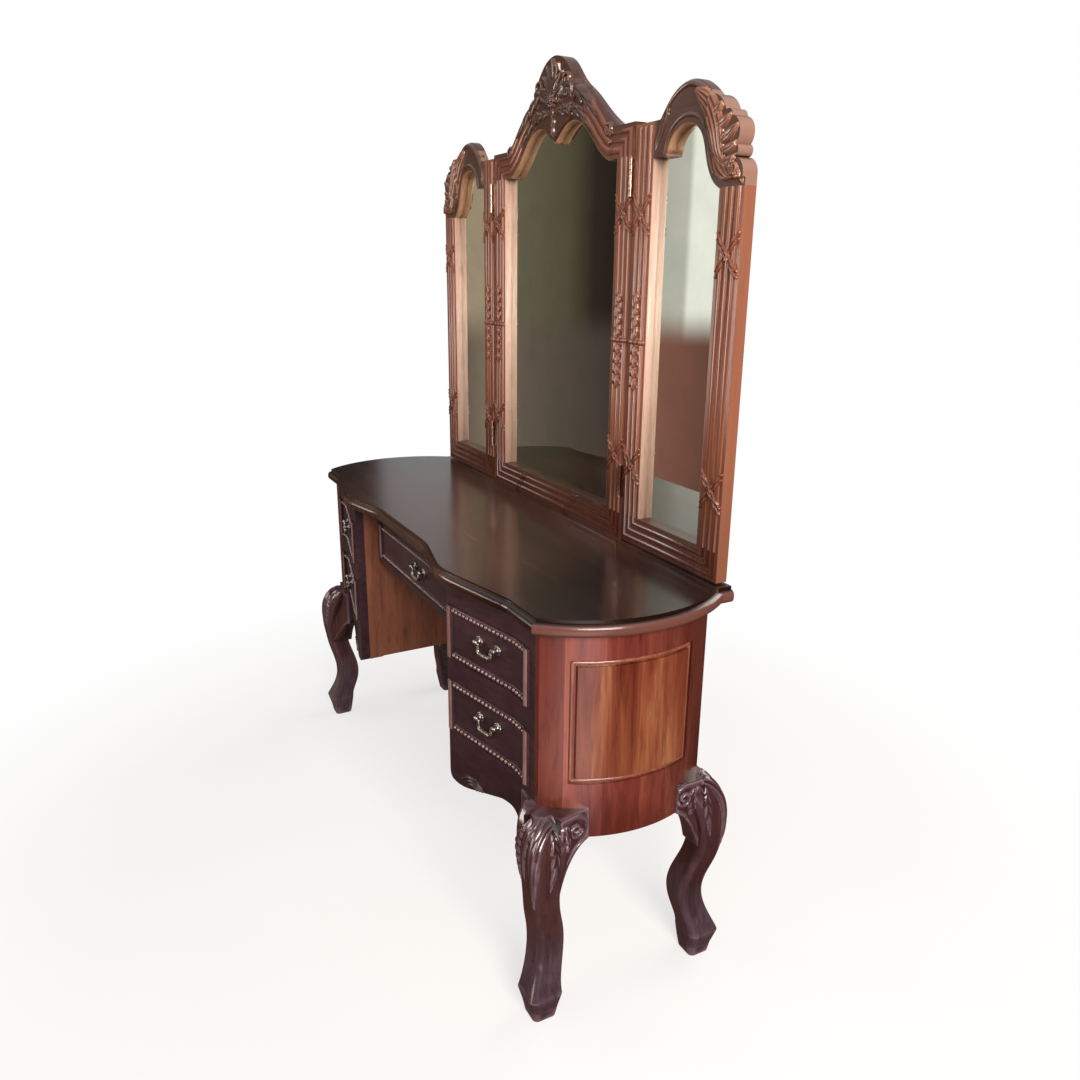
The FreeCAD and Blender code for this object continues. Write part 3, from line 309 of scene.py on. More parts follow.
class Ground:
    """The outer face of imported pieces, found by a ray in mm."""

    def __init__(self, *names):
        points = []
        faces = []
        for name in names:
            mesh = nodes[name].data
            start = len(points)
            points.extend(v.co.copy() for v in mesh.vertices)
            faces.extend([start + i for i in f.vertices] for f in mesh.polygons)
        self.tree = BVHTree.FromPolygons(points, faces)

    def hit(self, start, way):
        spot, normal, _, _ = self.tree.ray_cast(Vector(start) * MM, Vector(way))
        if spot is None:
            return None
        return spot / MM, normal


def smooth_line(corners, count):
    """A curve through the corners, in even steps of the corner number."""
    c = np.array(corners, float)
    c = np.vstack([2 * c[0] - c[1], c, 2 * c[-1] - c[-2]])
    out = []
    for t in np.linspace(0, len(corners) - 1, count):
        i = min(int(t), len(corners) - 2)
        f = t - i
        a, b, d, e = c[i:i + 4]
        out.append(0.5 * (2 * b + (d - a) * f + (2 * a - 5 * b + 4 * d - e) * f * f
                          + (3 * b - a - 3 * d + e) * f ** 3))
    return np.array(out)


def rounded_line(corners, closed, step):
    """Points along straight runs whose corners are rounded by the radius given third, in some steps."""
    count = len(corners)
    out = []
    for i, corner in enumerate(corners):
        here = np.array(corner[:2], float)
        if len(corner) == 2 or (not closed and i in (0, count - 1)):
            out.append(here)
            continue
        back = np.array(corners[i - 1][:2], float) - here
        onward = np.array(corners[(i + 1) % count][:2], float) - here
        lengths = np.linalg.norm(back), np.linalg.norm(onward)
        back, onward = back / lengths[0], onward / lengths[1]
        half = math.acos(np.clip(back @ onward, -1, 1)) / 2
        reach = min(corner[2] / math.tan(half), 0.49 * lengths[0], 0.49 * lengths[1])
        radius = reach * math.tan(half)
        middle = back + onward
        middle = here + middle / np.linalg.norm(middle) * (radius / math.sin(half))
        start = here + back * reach - middle
        end = here + onward * reach - middle
        sweep = math.acos(np.clip(start @ end / radius ** 2, -1, 1))
        for k in range(step + 1):
            f = k / step
            bend = start * math.sin((1 - f) * sweep) + end * math.sin(f * sweep)
            out.append(middle + bend / math.sin(sweep))
    return np.array(out)


def rounded_box(low, high, radius, step):
    """Points round an upright box with rounded corners."""
    corners = ((low[0], low[1]), (high[0], low[1]), (high[0], high[1]), (low[0], high[1]))
    return rounded_line([(a, b, radius) for a, b in corners], True, step)


def parallel(points, gap):
    """A line beside another, at a gap to the left of its way, with mitred corners."""
    p = np.array(points, float)
    ways = np.diff(p, axis=0)
    ways /= np.linalg.norm(ways, axis=1)[:, None]
    left = np.stack([-ways[:, 1], ways[:, 0]], 1)
    first = np.vstack([left[:1], left])
    second = np.vstack([left, left[-1:]])
    mitre = (first + second) / (1 + (first * second).sum(1))[:, None]
    return p + mitre * gap


def mirrored(line):
    return [(-x, z) for x, z in reversed(list(line))]


def on_face(line, y):
    return [(x, y, z) for x, z in line]


def ring_faces(rings, sides):
    """Faces between rings of points that follow each other, and one over either end."""
    faces = []
    for i in range(rings - 1):
        for k in range(sides):
            j = (k + 1) % sides
            faces.append((i * sides + k, i * sides + j, (i + 1) * sides + j, (i + 1) * sides + k))
    last = (rings - 1) * sides
    return faces + [tuple(range(sides - 1, -1, -1)), tuple(range(last, last + sides))]


# Node trees for what repeats or follows a path

def grower(name, **sizes):
    """An empty tree whose inputs are the path, the named sizes and the material."""
    tree = bpy.data.node_groups.new(name, "GeometryNodeTree")
    for label, kind in {"Path": "Geometry", **sizes, "Finish": "Material"}.items():
        tree.interface.new_socket(label.replace("_", " "), in_out="INPUT", socket_type=f"NodeSocket{kind}")
    tree.interface.new_socket("Mesh", in_out="OUTPUT", socket_type="NodeSocketGeometry")
    return tree, add(tree, "NodeGroupInput").outputs


def end_tree(tree, shape, finish):
    """The end of every tree: one plain mesh in its finish."""
    whole = add(tree, "GeometryNodeRealizeInstances", {0: shape})
    done = add(tree, "GeometryNodeSetMaterial", {"Geometry": whole, "Material": finish})
    add(tree, "NodeGroupOutput", {0: done})
    return tree


# Moulding along a path: a rounded rib of a given half width and rise, square to the face it lies on.
tree, given = grower("moulding_along_path", Half_Width="Float", Rise="Float", Face="Vector")
line = add(tree, "GeometryNodeMeshToCurve", {0: given["Path"]})
turned = add(tree, "GeometryNodeSetCurveNormal", {"Curve": line, "Normal": given["Face"]}, mode="FREE")
ring = add(tree, "GeometryNodeCurvePrimitiveCircle", {"Resolution": 14, "Radius": 1.0})
oval = add(tree, "ShaderNodeCombineXYZ", {0: given["Rise"], 1: given["Half Width"], 2: 1.0})
rib = add(tree, "GeometryNodeTransform", {"Geometry": ring, "Scale": oval})
swept = add(tree, "GeometryNodeCurveToMesh", {"Curve": turned, "Profile Curve": rib, "Fill Caps": True})
moulding_tree = end_tree(tree, swept, given["Finish"])

# Row of carved pearls: one bead at every pitch along a path.
tree, given = grower("pearls_along_path", Pitch="Float", Bead_Radius="Float")
line = add(tree, "GeometryNodeMeshToCurve", {0: given["Path"]})
spaced = add(tree, "GeometryNodeResampleCurve", {"Curve": line, "Length": given["Pitch"]}, mode="LENGTH")
bead = add(tree, "GeometryNodeMeshIcoSphere", {"Radius": given["Bead Radius"], "Subdivisions": 2})
strung = add(tree, "GeometryNodeInstanceOnPoints", {"Points": spaced, "Instance": bead})
pearl_tree = end_tree(tree, strung, given["Finish"])

# Screws and pins: a low round head with a slot on every point, each turned its own way, facing the back.
tree, given = grower("heads_on_points", Head_Radius="Float", Head_Rise="Float", Slot_Width="Float")
ball = add(tree, "GeometryNodeMeshUVSphere", {"Segments": 20, "Rings": 10, "Radius": 1.0})
dome_size = add(tree, "ShaderNodeCombineXYZ", {
    0: given["Head Radius"], 1: given["Head Radius"], 2: given["Head Rise"]})
dome = add(tree, "GeometryNodeTransform", {"Geometry": ball, "Scale": dome_size})
slot_long = add(tree, "ShaderNodeMath", {0: given["Head Radius"], 1: 3.0}, operation="MULTIPLY")
slot_size = add(tree, "ShaderNodeCombineXYZ", {0: slot_long, 1: given["Slot Width"], 2: given["Head Rise"]})
bar = add(tree, "GeometryNodeMeshCube", {"Size": slot_size})
slot_high = add(tree, "ShaderNodeCombineXYZ", {2: given["Head Rise"]})
raised = add(tree, "GeometryNodeTransform", {"Geometry": bar, "Translation": slot_high})
head = add(tree, "GeometryNodeMeshBoolean", {"Mesh 1": dome, "Mesh 2": raised}, operation="DIFFERENCE")
backward = add(tree, "GeometryNodeTransform", {"Geometry": head, "Rotation": (-math.pi / 2, 0, 0)})
spin = add(tree, "FunctionNodeRandomValue", {
    0: (0, 0, 0), 1: (0, math.pi, 0), "Seed": 4}, data_type="FLOAT_VECTOR")
set_in = add(tree, "GeometryNodeInstanceOnPoints", {
    "Points": given["Path"], "Instance": backward, "Rotation": spin})
screw_tree = end_tree(tree, set_in, given["Finish"])


def grown_piece(name, body, material, tree, paths, sizes):
    """A piece that a tree makes along some paths, as one plain mesh. Paths and sizes are in mm."""
    points = []
    edges = []
    for path in paths:
        start = len(points)
        points.extend([tuple(float(c) * MM for c in p) for p in path])
        edges.extend((start + i, start + i + 1) for i in range(len(path) - 1))
    guide = bpy.data.meshes.new(name + "_guide")
    guide.from_pydata(points, edges, [])
    maker = bpy.data.objects.new(name + "_guide", guide)
    bpy.context.scene.collection.objects.link(maker)
    step = maker.modifiers.new("grow", "NODES")
    step.node_group = tree
    for socket in tree.interface.items_tree:
        if socket.in_out == "INPUT" and socket.name in sizes:
            size = sizes[socket.name]
            step[socket.identifier] = size if isinstance(size, tuple) else size * MM
        if socket.in_out == "INPUT" and socket.name == "Finish":
            step[socket.identifier] = material
    seen = maker.evaluated_get(bpy.context.evaluated_depsgraph_get())
    made = bpy.data.meshes.new_from_object(seen)
    made.name = name
    maker.modifiers.remove(step)
    bpy.data.objects.remove(maker)
    bpy.data.meshes.remove(guide)
    return piece(name, body, material, made)


# Carving: leaves and scrolls as heights over a ground

# The height that stands for no carving, how far lobes sweep back, and the points of a volute
BARE = -1.0
LOBE_LEAN = 0.9
VOLUTE_STEPS = 26


def leaf(a, b, spine, width, rise, shape="leaf", lobes=0, flutes=0, vein=0.0):
    """Height in mm, at the points (a, b), of a leaf along a spine. lobes cut its edges and sweep back
    from the vein, flutes run along it."""
    line = smooth_line(spine, 8 * len(spine))
    ways = np.gradient(line, axis=0)
    steps = np.linalg.norm(ways, axis=1)
    ways = ways / steps[:, None]
    out = np.full(a.shape, BARE)
    near = ((a > line[:, 0].min() - width) & (a < line[:, 0].max() + width)
            & (b > line[:, 1].min() - width) & (b < line[:, 1].max() + width))
    if not near.any():
        return out
    p = np.stack([a[near], b[near]], 1)
    gap = p[:, None, :] - line[None]
    best = (gap ** 2).sum(2).argmin(1)
    rest = p - line[best]
    ahead = (rest * ways[best]).sum(1)
    aside = rest[:, 0] * ways[best, 1] - rest[:, 1] * ways[best, 0]
    u = np.clip((best + ahead / steps[best]) / (len(line) - 1), 0, 1)
    past = np.where(best == len(line) - 1, np.maximum(ahead, 0), 0)
    past = np.where(best == 0, np.minimum(ahead, 0), past)
    if shape == "leaf":
        half = width * (0.3 + 0.7 * np.sin(math.pi * u ** 0.75)) * (1 - u ** 4) ** 0.5
    elif shape == "taper":
        half = width * (1 - 0.86 * u)
    elif shape == "finger":
        half = width * (0.72 + 0.28 * np.sin(math.pi * u)) * (1 - u ** 6) ** 0.5
    else:
        half = width * np.ones_like(u)
    half = np.maximum(half, 0.3)
    q = np.hypot(aside, past) / half
    height = rise * np.sqrt(np.clip(1 - np.minimum(q, 1) ** 2, 0, 1))
    if lobes:
        wave = np.abs(np.sin(math.pi * lobes * (u - LOBE_LEAN * np.abs(q) / lobes)))
        q = q * (1 + 0.45 * (1 - wave))
        height = rise * np.sqrt(np.clip(1 - np.minimum(q, 1) ** 2, 0, 1))
        height *= 1 - 0.5 * np.clip(q * 1.6, 0, 1) * (1 - wave ** 0.6)
    if flutes:
        height *= 0.62 + 0.38 * np.abs(np.cos(math.pi * flutes * q / 2))
    if vein:
        height *= 1 - 0.45 * np.exp(-(aside / vein) ** 2) * (1 - u)
    if shape in ("leaf", "taper"):
        height *= np.clip((1 - u) / 0.3, 0.05, 1) ** 0.5
    out[near] = np.where(q < 1, height, BARE)
    return out


def spiral(centre, outer, inner, start, turns):
    """Points of a volute that winds inwards. start is in degrees."""
    out = []
    for f in np.linspace(0, 1, VOLUTE_STEPS):
        r = outer + (inner - outer) * f
        t = math.radians(start + 360 * turns * f)
        out.append((centre[0] + r * math.cos(t), centre[1] + r * math.sin(t)))
    return out


def highest(*layers):
    """The uppermost of several carved heights at each point."""
    return np.max(np.stack(layers), axis=0)


def carved_skin(front, back, keep):
    """A closed skin: the front and back grids over the kept cells, walled along their edge."""
    rows, cols = keep.shape
    index = -np.ones((rows + 1, cols + 1), int)
    used = np.zeros((rows + 1, cols + 1), bool)
    for di in (0, 1):
        for dj in (0, 1):
            used[di:di + rows, dj:dj + cols] |= keep
    count = int(used.sum())
    index[used] = np.arange(count)
    points = np.vstack([front[used], back[used]])
    faces = []
    for i, j in zip(*np.nonzero(keep)):
        a, b, c, d = index[i, j], index[i + 1, j], index[i + 1, j + 1], index[i, j + 1]
        faces.append((a, b, c, d))
        faces.append((d + count, c + count, b + count, a + count))
        for free, (s, e) in (
            (j == 0 or not keep[i, j - 1], (a, b)),
            (i == rows - 1 or not keep[i + 1, j], (b, c)),
            (j == cols - 1 or not keep[i, j + 1], (c, d)),
            (i == 0 or not keep[i - 1, j], (d, a)),
        ):
            if free:
                faces.append((e, s, s + count, e + count))
    return points, [tuple(int(k) for k in f) for f in faces]


def cell_corners(grid):
    """The values at the four corners of every cell of a grid."""
    return np.stack([grid[:-1, :-1], grid[1:, :-1], grid[1:, 1:], grid[:-1, 1:]])


# How far the edge of a carving dips and its back lies under the wood, the steepest step of the wood that it
# follows, in cells, and the least slant of a ray that it is laid by
EDGE_DIP, BACK_DEPTH, STEEPEST, GRAZING = 0.7, 2.5, 5, 0.3


def relief(low, high, cell, ground, cast, heights, rim=None):
    """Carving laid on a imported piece. For a point of the flat drawing, cast gives where a ray starts and
    its way; the carving stands up against that way. Past the rim of the wood it hangs over, at the distance
    rim. It leaves out the steps of the wood, where the ground falls away steeply."""
    across = np.arange(low[0], high[0] + cell, cell)
    upward = np.arange(low[1], high[1] + cell, cell)
    a, b = np.meshgrid(across, upward, indexing="ij")
    lift = heights(a, b)
    tall = lift >= 0
    lift = np.where(tall, lift, -EDGE_DIP)
    rows, cols = a.shape
    wide = np.pad(tall, 1)
    near = np.zeros(a.shape, bool)
    for di in range(3):
        for dj in range(3):
            near |= wide[di:di + rows, dj:dj + cols]
    front = np.zeros(a.shape + (3,))
    back = np.zeros(a.shape + (3,))
    depth = np.zeros(a.shape)
    for spot in zip(*np.nonzero(near)):
        start, way = (Vector(v) for v in cast(a[spot], b[spot]))
        found = ground.hit(start, way)
        if found and rim is None and found[1].dot(way) > -GRAZING:
            found = None
        far = (found[0] - start).dot(way) if found else rim
        if far is None:
            near[spot] = False
            continue
        far = min(far, rim) if rim else far
        depth[spot] = far
        front[spot] = start + way * (far - lift[spot])
        back[spot] = start + way * (far + BACK_DEPTH)
    even = np.ptp(cell_corners(depth), axis=0) < STEEPEST * cell
    return carved_skin(front, back, cell_corners(tall).any(0) & cell_corners(near).all(0) & even)


FRONT_RAY, END_RAY, ROUND_RAY = -300, 900, 220


def from_front(a, b):
    return (a, FRONT_RAY, b), (0, 1, 0)


def from_end(a, b):
    return (END_RAY, a, b), (-1, 0, 0)


def from_round(axis, turn, radius):
    """Rays towards an upright axis; the way round is in mm at the radius, from the direction turn in
    degrees."""
    def cast(a, b):
        t = math.radians(turn) + a / radius
        out = math.cos(t), math.sin(t)
        return (axis[0] + ROUND_RAY * out[0], axis[1] + ROUND_RAY * out[1], b), (-out[0], -out[1], 0)
    return cast


# Drawers: bands with pearl rows above and below, between pale end strips

PLAN_PEAK, PLAN_SHOULDER = (308, 222.8), (515, 178)
FRONT_SLOPE = math.atan2(PLAN_PEAK[1] - PLAN_SHOULDER[1], PLAN_SHOULDER[0] - PLAN_PEAK[0])
BAND = {"Half Width": 7, "Rise": 1.6}
STRIP = {"Half Width": 6.2, "Rise": 2.4}
PEARLS = {"Pitch": 11.2, "Bead Radius": 3.7}
PEARL_LIFT, STRIP_PAST = 1.4, 7
ROW_HEIGHTS = {"upper": (678, 586.5), "lower": (523, 431.5), "centre": (677, 606.5)}
BAND_XS, STRIP_XS = np.linspace(328, 553, 58), np.array([318, 563])
CENTRE_BAND_XS, CENTRE_STRIP_XS = np.linspace(-261, 261, 80), np.array([-271, 271])
drawers = []
for level in LEVELS:
    for side, sign in SIDES:
        face = (math.sin(FRONT_SLOPE) * sign, -math.cos(FRONT_SLOPE), 0)
        drawers.append((f"{level}_{side}", f"{level}_drawer_{side}", f"{level}_drawer_front_{side}",
                        ROW_HEIGHTS[level], BAND_XS * sign, STRIP_XS * sign, face))
drawers.append(("centre", "centre_drawer", "centre_drawer_front",
                ROW_HEIGHTS["centre"], CENTRE_BAND_XS, CENTRE_STRIP_XS, (0, -1, 0)))
for name, body, node, rows, band_xs, strip_xs, face in drawers:
    front = Ground(node)
    lines = []
    for z in rows:
        found = [front.hit(*from_front(x, z))[0] for x in band_xs]
        lines.append([(spot.x, spot.y, z) for spot in found])
    grown_piece(f"{name}_drawer_bands", body, front_wood, moulding_tree, lines,
                {**BAND, "Face": face})
    inner = [[(x, y - PEARL_LIFT, z) for x, y, z in line[1:-1]] for line in lines]
    grown_piece(f"{name}_drawer_pearls", body, pearl_wood, pearl_tree, inner, PEARLS)
    uprights = []
    for x in strip_xs:
        spot, _ = front.hit(*from_front(x, sum(rows) / 2))
        uprights.append([(x, spot.y, rows[1] - STRIP_PAST), (x, spot.y, rows[0] + STRIP_PAST)])
    # The end strips take the pale painted highlight.
    grown_piece(f"{name}_drawer_strips", body, strip_highlight_wood, moulding_tree, uprights,
                {**STRIP, "Face": face})


# Pulls: petalled rosettes with turned posts, and a swelling bail

PULL_HALF, PULL_X, PULL_Y = 27, 440.5, -173.66
PULL_HEIGHTS = {"upper": 645.5, "lower": 490.5}
CENTRE_PULL = (0, -140, 650)
# Profile of a rosette and its post: the radius, and how far it stands out
ROSETTE = [(10.5, 0.0), (10.5, 1.1), (9.6, 2.6), (7.9, 3.2), (6.6, 2.7), (5.4, 4.2), (4.5, 6.4), (4.4, 8.2),
           (5.3, 9.6), (5.7, 11.4), (5.3, 13.4), (3.8, 15.2), (1.6, 16.0)]
ROSETTE_SIDES, PETALS, PETAL_FOOT, PETAL_LONG, PETAL_CUT, PETAL_CURL = 48, 8, 5.5, 5.0, 0.13, 0.9


def rosette(x):
    """A rosette and its post, turned round Y and cut into petals."""
    points = []
    for r, out in ROSETTE:
        flare = max(0.0, (r - PETAL_FOOT) / PETAL_LONG)
        for k in range(ROSETTE_SIDES):
            t = 2 * math.pi * k / ROSETTE_SIDES
            petal = abs(math.cos(PETALS / 2 * t)) ** 0.6
            reach = r * (1 - PETAL_CUT * flare * (1 - petal))
            curl = PETAL_CURL * flare * petal if out else 0.0
            points.append((x + reach * math.cos(t), -out - curl, reach * math.sin(t)))
    return points, [f[:1] + f[:0:-1] for f in ring_faces(len(ROSETTE), ROSETTE_SIDES)]


BAIL_SIDE, BAIL_ARM = [(-29, 0), (-18.2, 0, 3.9), (-19.4, -12), (-16.5, -18.6, 8), (0, -19.2)], (-23, 0)
BAIL_PIVOT, BAIL_STEP, BAIL_THIN, BAIL_SWELL, BAIL_SIDES = 11, 2.0, 2.6, 2.2, 14
BAIL_COLLARS, COLLAR_RISE, COLLAR_LONG = (0.36, 0.64), 0.7, 0.016
# A direction that the rod never takes, to turn its rings from
ASKEW = (0.3, 0.9, 0.2)


def bail():
    """A rod between its two pivots, thicker in the hanging middle, with two small collars."""
    corners = rounded_line(BAIL_SIDE, False, 8)
    corners = np.vstack([corners[:1], BAIL_ARM, corners[1:]])
    half = []
    for p, q in zip(corners[:-1], corners[1:]):
        count = max(1, int(np.linalg.norm(q - p) / BAIL_STEP))
        half += [p + (q - p) * k / count for k in range(count)]
    line = [tuple(p) for p in half + [corners[-1]]]
    line = np.array(on_face(line + mirrored(line)[1:], -BAIL_PIVOT))
    run = np.concatenate([[0], np.cumsum(np.linalg.norm(np.diff(line, axis=0), axis=1))])
    f = run / run[-1]
    radii = BAIL_THIN + BAIL_SWELL * np.clip(np.sin(math.pi * np.clip((f - 0.15) / 0.7, 0, 1)), 0, 1) ** 0.6
    for collar in BAIL_COLLARS:
        radii = radii + COLLAR_RISE * np.exp(-((f - collar) / COLLAR_LONG) ** 2)
    ways = np.gradient(line, axis=0)
    ways /= np.linalg.norm(ways, axis=1)[:, None]
    up = np.cross(ways[0], ASKEW)
    points = []
    for here, way, radius in zip(line, ways, radii):
        up = up - way * (up @ way)
        up /= np.linalg.norm(up)
        side = np.cross(way, up)
        for k in range(BAIL_SIDES):
            t = 2 * math.pi * k / BAIL_SIDES
            points.append(here + radius * (math.cos(t) * up + math.sin(t) * side))
    return points, ring_faces(len(line), BAIL_SIDES)


pulls = [(f"{level}_{side}", f"{level}_drawer_{side}", f"{level}_bail_{side}",
          (PULL_X * sign, PULL_Y, PULL_HEIGHTS[level]), FRONT_SLOPE * sign)
         for level in LEVELS for side, sign in SIDES]
pulls.append(("centre", "centre_drawer", "centre_bail", CENTRE_PULL, 0.0))
rosettes = joined([rosette(-PULL_HALF), rosette(PULL_HALF)])
drop = bail()
for name, drawer_body, bail_body, spot, turn in pulls:
    place = Matrix.Translation(Vector(spot) * MM) @ Matrix.Rotation(turn, 4, "Z")
    for label, body, shape, node in ((f"{name}_rosettes", drawer_body, rosettes, f"{name}_pull"),
                                     (f"{name}_drop", bail_body, drop, f"{name}_bail")):
        mesh = mesh_of(label, *shape)
        mesh.transform(place)
        piece(label, body, handle_metal, mesh, (node,))


# Mirror frames: reeds that run round each opening, and a pale slip inside it

FACE_Y, GLASS_Y, ARCH_Y, ARCH_BELOW = 191, 208, 200, 1400
CENTRE_X, CENTRE_SILL, CENTRE_SPRING = 245.7, 816, 1500
WING_IN, WING_OUT, WING_SILL, WING_SPRING, WING_HEEL = 364.3, 557, 819, 1489, 1427
REED = {"Half Width": 7.3, "Rise": 3.3, "Face": (0, -1, 0)}
REED_GAPS, REED_START, WING_REED_TOP, WING_REED_OUT = (13.5, 29, 44.5), 96, 1544, 1.5
SLIP_THICK, SLIP_SETBACK, SLIP_GAP = 1.6, 0.8, 0.1
ARCH_SPAN, ARCH_STEPS = (0, 215.8), 60
WING_ARCH_SPAN, WING_ARCH_STEPS = (404.6, 556.6), 80


def arch_edge(node, first, last, count):
    """The lower edge of an arched rail from one x to another, met from below."""
    ground = Ground(node)
    line = []
    for x in np.linspace(first, last, count):
        spot, _ = ground.hit((x, ARCH_Y, ARCH_BELOW), (0, 0, 1))
        line.append((spot.x, spot.z))
    return line


def slip(line):
    """A thin lining along one side of an opening, from the frame's face to the glass. The opening lies to
    the right of the line's way."""
    inner = parallel(line, -SLIP_THICK)
    count = len(line)
    front, back = FACE_Y + SLIP_SETBACK, GLASS_Y - SLIP_GAP
    points = []
    for edge, y in ((line, front), (inner, front), (inner, back), (line, back)):
        points += on_face(edge, y)
    faces = [(3 * count, 2 * count, count, 0), (count - 1, 2 * count - 1, 3 * count - 1, 4 * count - 1)]
    for k in range(count - 1):
        for s in range(4):
            n = (s + 1) % 4
            faces.append((s * count + k, n * count + k, n * count + k + 1, s * count + k + 1))
    return points, faces


arch = arch_edge("mirror_crest", *ARCH_SPAN, ARCH_STEPS)
wing_arch = arch_edge("wing_arch_right", *WING_ARCH_SPAN, WING_ARCH_STEPS)
# The two upright slips of the centre glass are named as seen from behind.
both_sides("mirror_slip", "desk", slip_wood,
           slip([(-CENTRE_X, CENTRE_SILL), (-CENTRE_X, CENTRE_SPRING)]))
both_sides("wing_slip_inner", "wing_right", slip_wood,
           slip([(WING_IN, WING_SILL), (WING_IN, WING_SPRING)]))
both_sides("wing_slip_outer", "wing_right", slip_wood,
           slip([(WING_OUT, WING_HEEL), (WING_OUT, WING_SILL)]))
piece("mirror_arch_slip", "desk", tan_wood,
      mesh_of("mirror_arch_slip", *slip(mirrored(arch)[:-1] + arch)))
both_sides("wing_arch_slip", "wing_right", tan_wood, slip(wing_arch))
reeds = []
for gap in REED_GAPS:
    bend = [p for p in arch if p[0] > REED_START + gap / 3]
    bend += [(CENTRE_X, CENTRE_SPRING), (CENTRE_X, CENTRE_SILL)]
    reeds.append(on_face(parallel(bend + mirrored(bend), gap), FACE_Y))
grown_piece("mirror_reeds", "desk", frame_wood, moulding_tree, reeds, REED)
for side, sign in SIDES:
    reeds = []
    for gap in REED_GAPS:
        inner, outer, low = WING_IN - gap, WING_OUT + gap + WING_REED_OUT, WING_SILL - gap
        run = [(outer, WING_HEEL), (outer, low), (inner, low), (inner, WING_REED_TOP)]
        reeds.append(on_face([(x * sign, z) for x, z in run], FACE_Y))
    grown_piece(f"wing_reeds_{side}", f"wing_{side}", frame_wood, moulding_tree, reeds, REED)

# Crest: a plume of seven fingers over a flower, acanthus leaves along the slopes, husks to the cusp

OVERHANG = 504
PLUME_Z, FLOWER_Z, FLOWER_WIDE, EYE_WIDE = 1640, 1632, 13, 5


def crest_heights(x, z):
    a = np.abs(x)
    plume = []
    for turn in (0, 21, 43, 66):
        out, up = math.sin(math.radians(turn)), math.cos(math.radians(turn))
        tip = 72 - 0.22 * turn
        spine = [(9 * out, PLUME_Z + 3 + 6 * up), (0.6 * tip * out, PLUME_Z + 0.62 * tip * up),
                 (tip * out, PLUME_Z + tip * up - 0.05 * turn)]
        plume.append(leaf(a, z, spine, 9.5, 8.5, "finger", flutes=1, vein=2.2))
    upper = leaf(a, z, [(16, 1630), (58, 1650), (104, 1634), (150, 1601), (204, 1564)], 19, 7,
                 lobes=6, vein=3)
    lower = leaf(a, z, [(12, 1612), (48, 1610), (92, 1604), (132, 1576), (172, 1543)], 13, 6,
                 lobes=6, vein=2.4)
    curl = leaf(a, z, spiral((60, 1664), 14, 3, 200, -1.5), 4.2, 7.5, "taper")
    foot = leaf(a, z, spiral((212, 1553), 12, 3, 120, -1.4), 3.8, 5.5, "taper")
    husks = [leaf(a, z, [(0, 1618 - 17 * k), (0, 1596 - 17 * k)], 10 - 1.6 * k, 7, vein=2) for k in range(3)]
    away = np.hypot(a, z - FLOWER_Z)
    petals = 6 + 4 * np.abs(np.cos(3 * np.arctan2(z - FLOWER_Z, x)))
    flower = np.where(away < FLOWER_WIDE, petals, BARE)
    eye = np.where(away < EYE_WIDE, 12, BARE)
    return highest(*plume, upper, lower, curl, foot, *husks, flower, eye)


crest = relief((-226, 1536), (226, 1715), 1.7, Ground("mirror_crest"), from_front, crest_heights, OVERHANG)
piece("crest_carving", "desk", carved_wood, mesh_of("crest_carving", *crest))

# Wings: bands and a fluted leaf on the brow, a fluted leaf that drapes over the outer side, scalloped tips
# and a scroll

DRAPE_TIPS = (((532, 1536), (566, 1557), 10), ((550, 1518), (586, 1536), 9), ((560, 1496), (606, 1520), 10),
              ((566, 1480), (606, 1494), 8), ((572, 1464), (604, 1474), 7))
TIP_SAG = 2


def brow_heights(x, z):
    outer = leaf(x, z, [(386, 1544), (399, 1563), (416, 1578), (438, 1590), (464, 1595), (492, 1586),
                        (514, 1572)], 5.5, 4, "band")
    lip = leaf(x, z, [(398, 1494), (410, 1522), (434, 1542), (464, 1548), (496, 1538), (514, 1508),
                      (528, 1476), (545, 1450)], 4.2, 3.8, "band")
    inner = leaf(x, z, [(404, 1562), (388, 1540), (376, 1514), (372, 1494)], 12, 4.5, flutes=3)
    return highest(outer, lip, inner)


def drape_heights(x, z):
    drape = leaf(x, z, [(486, 1580), (520, 1556), (542, 1520), (558, 1478), (586, 1446)], 22, 8, flutes=5)
    tips = []
    for start, end, wide in DRAPE_TIPS:
        middle = ((start[0] + end[0]) / 2, (start[1] + end[1]) / 2 - TIP_SAG)
        tips.append(leaf(x, z, [start, middle, end], wide, 6, vein=2.2))
    curl = leaf(x, z, spiral((597, 1453), 11, 3, 120, 1.4), 3.6, 5.5, "taper")
    foot = leaf(x, z, [(548, 1478), (566, 1452), (596, 1434)], 15, 5.5, flutes=3)
    heel = leaf(x, z, [(574, 1462), (598, 1446), (613, 1430)], 13, 5, flutes=2)
    return highest(drape, *tips, curl, foot, heel)


wing_top = Ground("wing_arch_right", "wing_stiles_right")
both_sides("wing_brow_carving", "wing_right", carved_wood,
           relief((356, 1442), (560, 1602), 1.6, wing_top, from_front, brow_heights, OVERHANG))
both_sides("wing_drape_carving", "wing_right", drape_wood,
           relief((470, 1424), (617, 1600), 1.5, wing_top, from_front, drape_heights))

# Stiles: crossed ribbons, and on the two by the joint a chain of husks with a tie

STILE_X, WING_STILE_X, OUTER_X, STILE_HALF = 274.7, 335.3, 587.5, 28
RIBBON_OUT, RIBBON_UP, RIBBON_GAP, RIBBON_ROOM = 27, 30, 5, 38
HUSKS, HUSK_STEP, HUSK_START, HUSK_ROOM = 4, 21, 8, 110


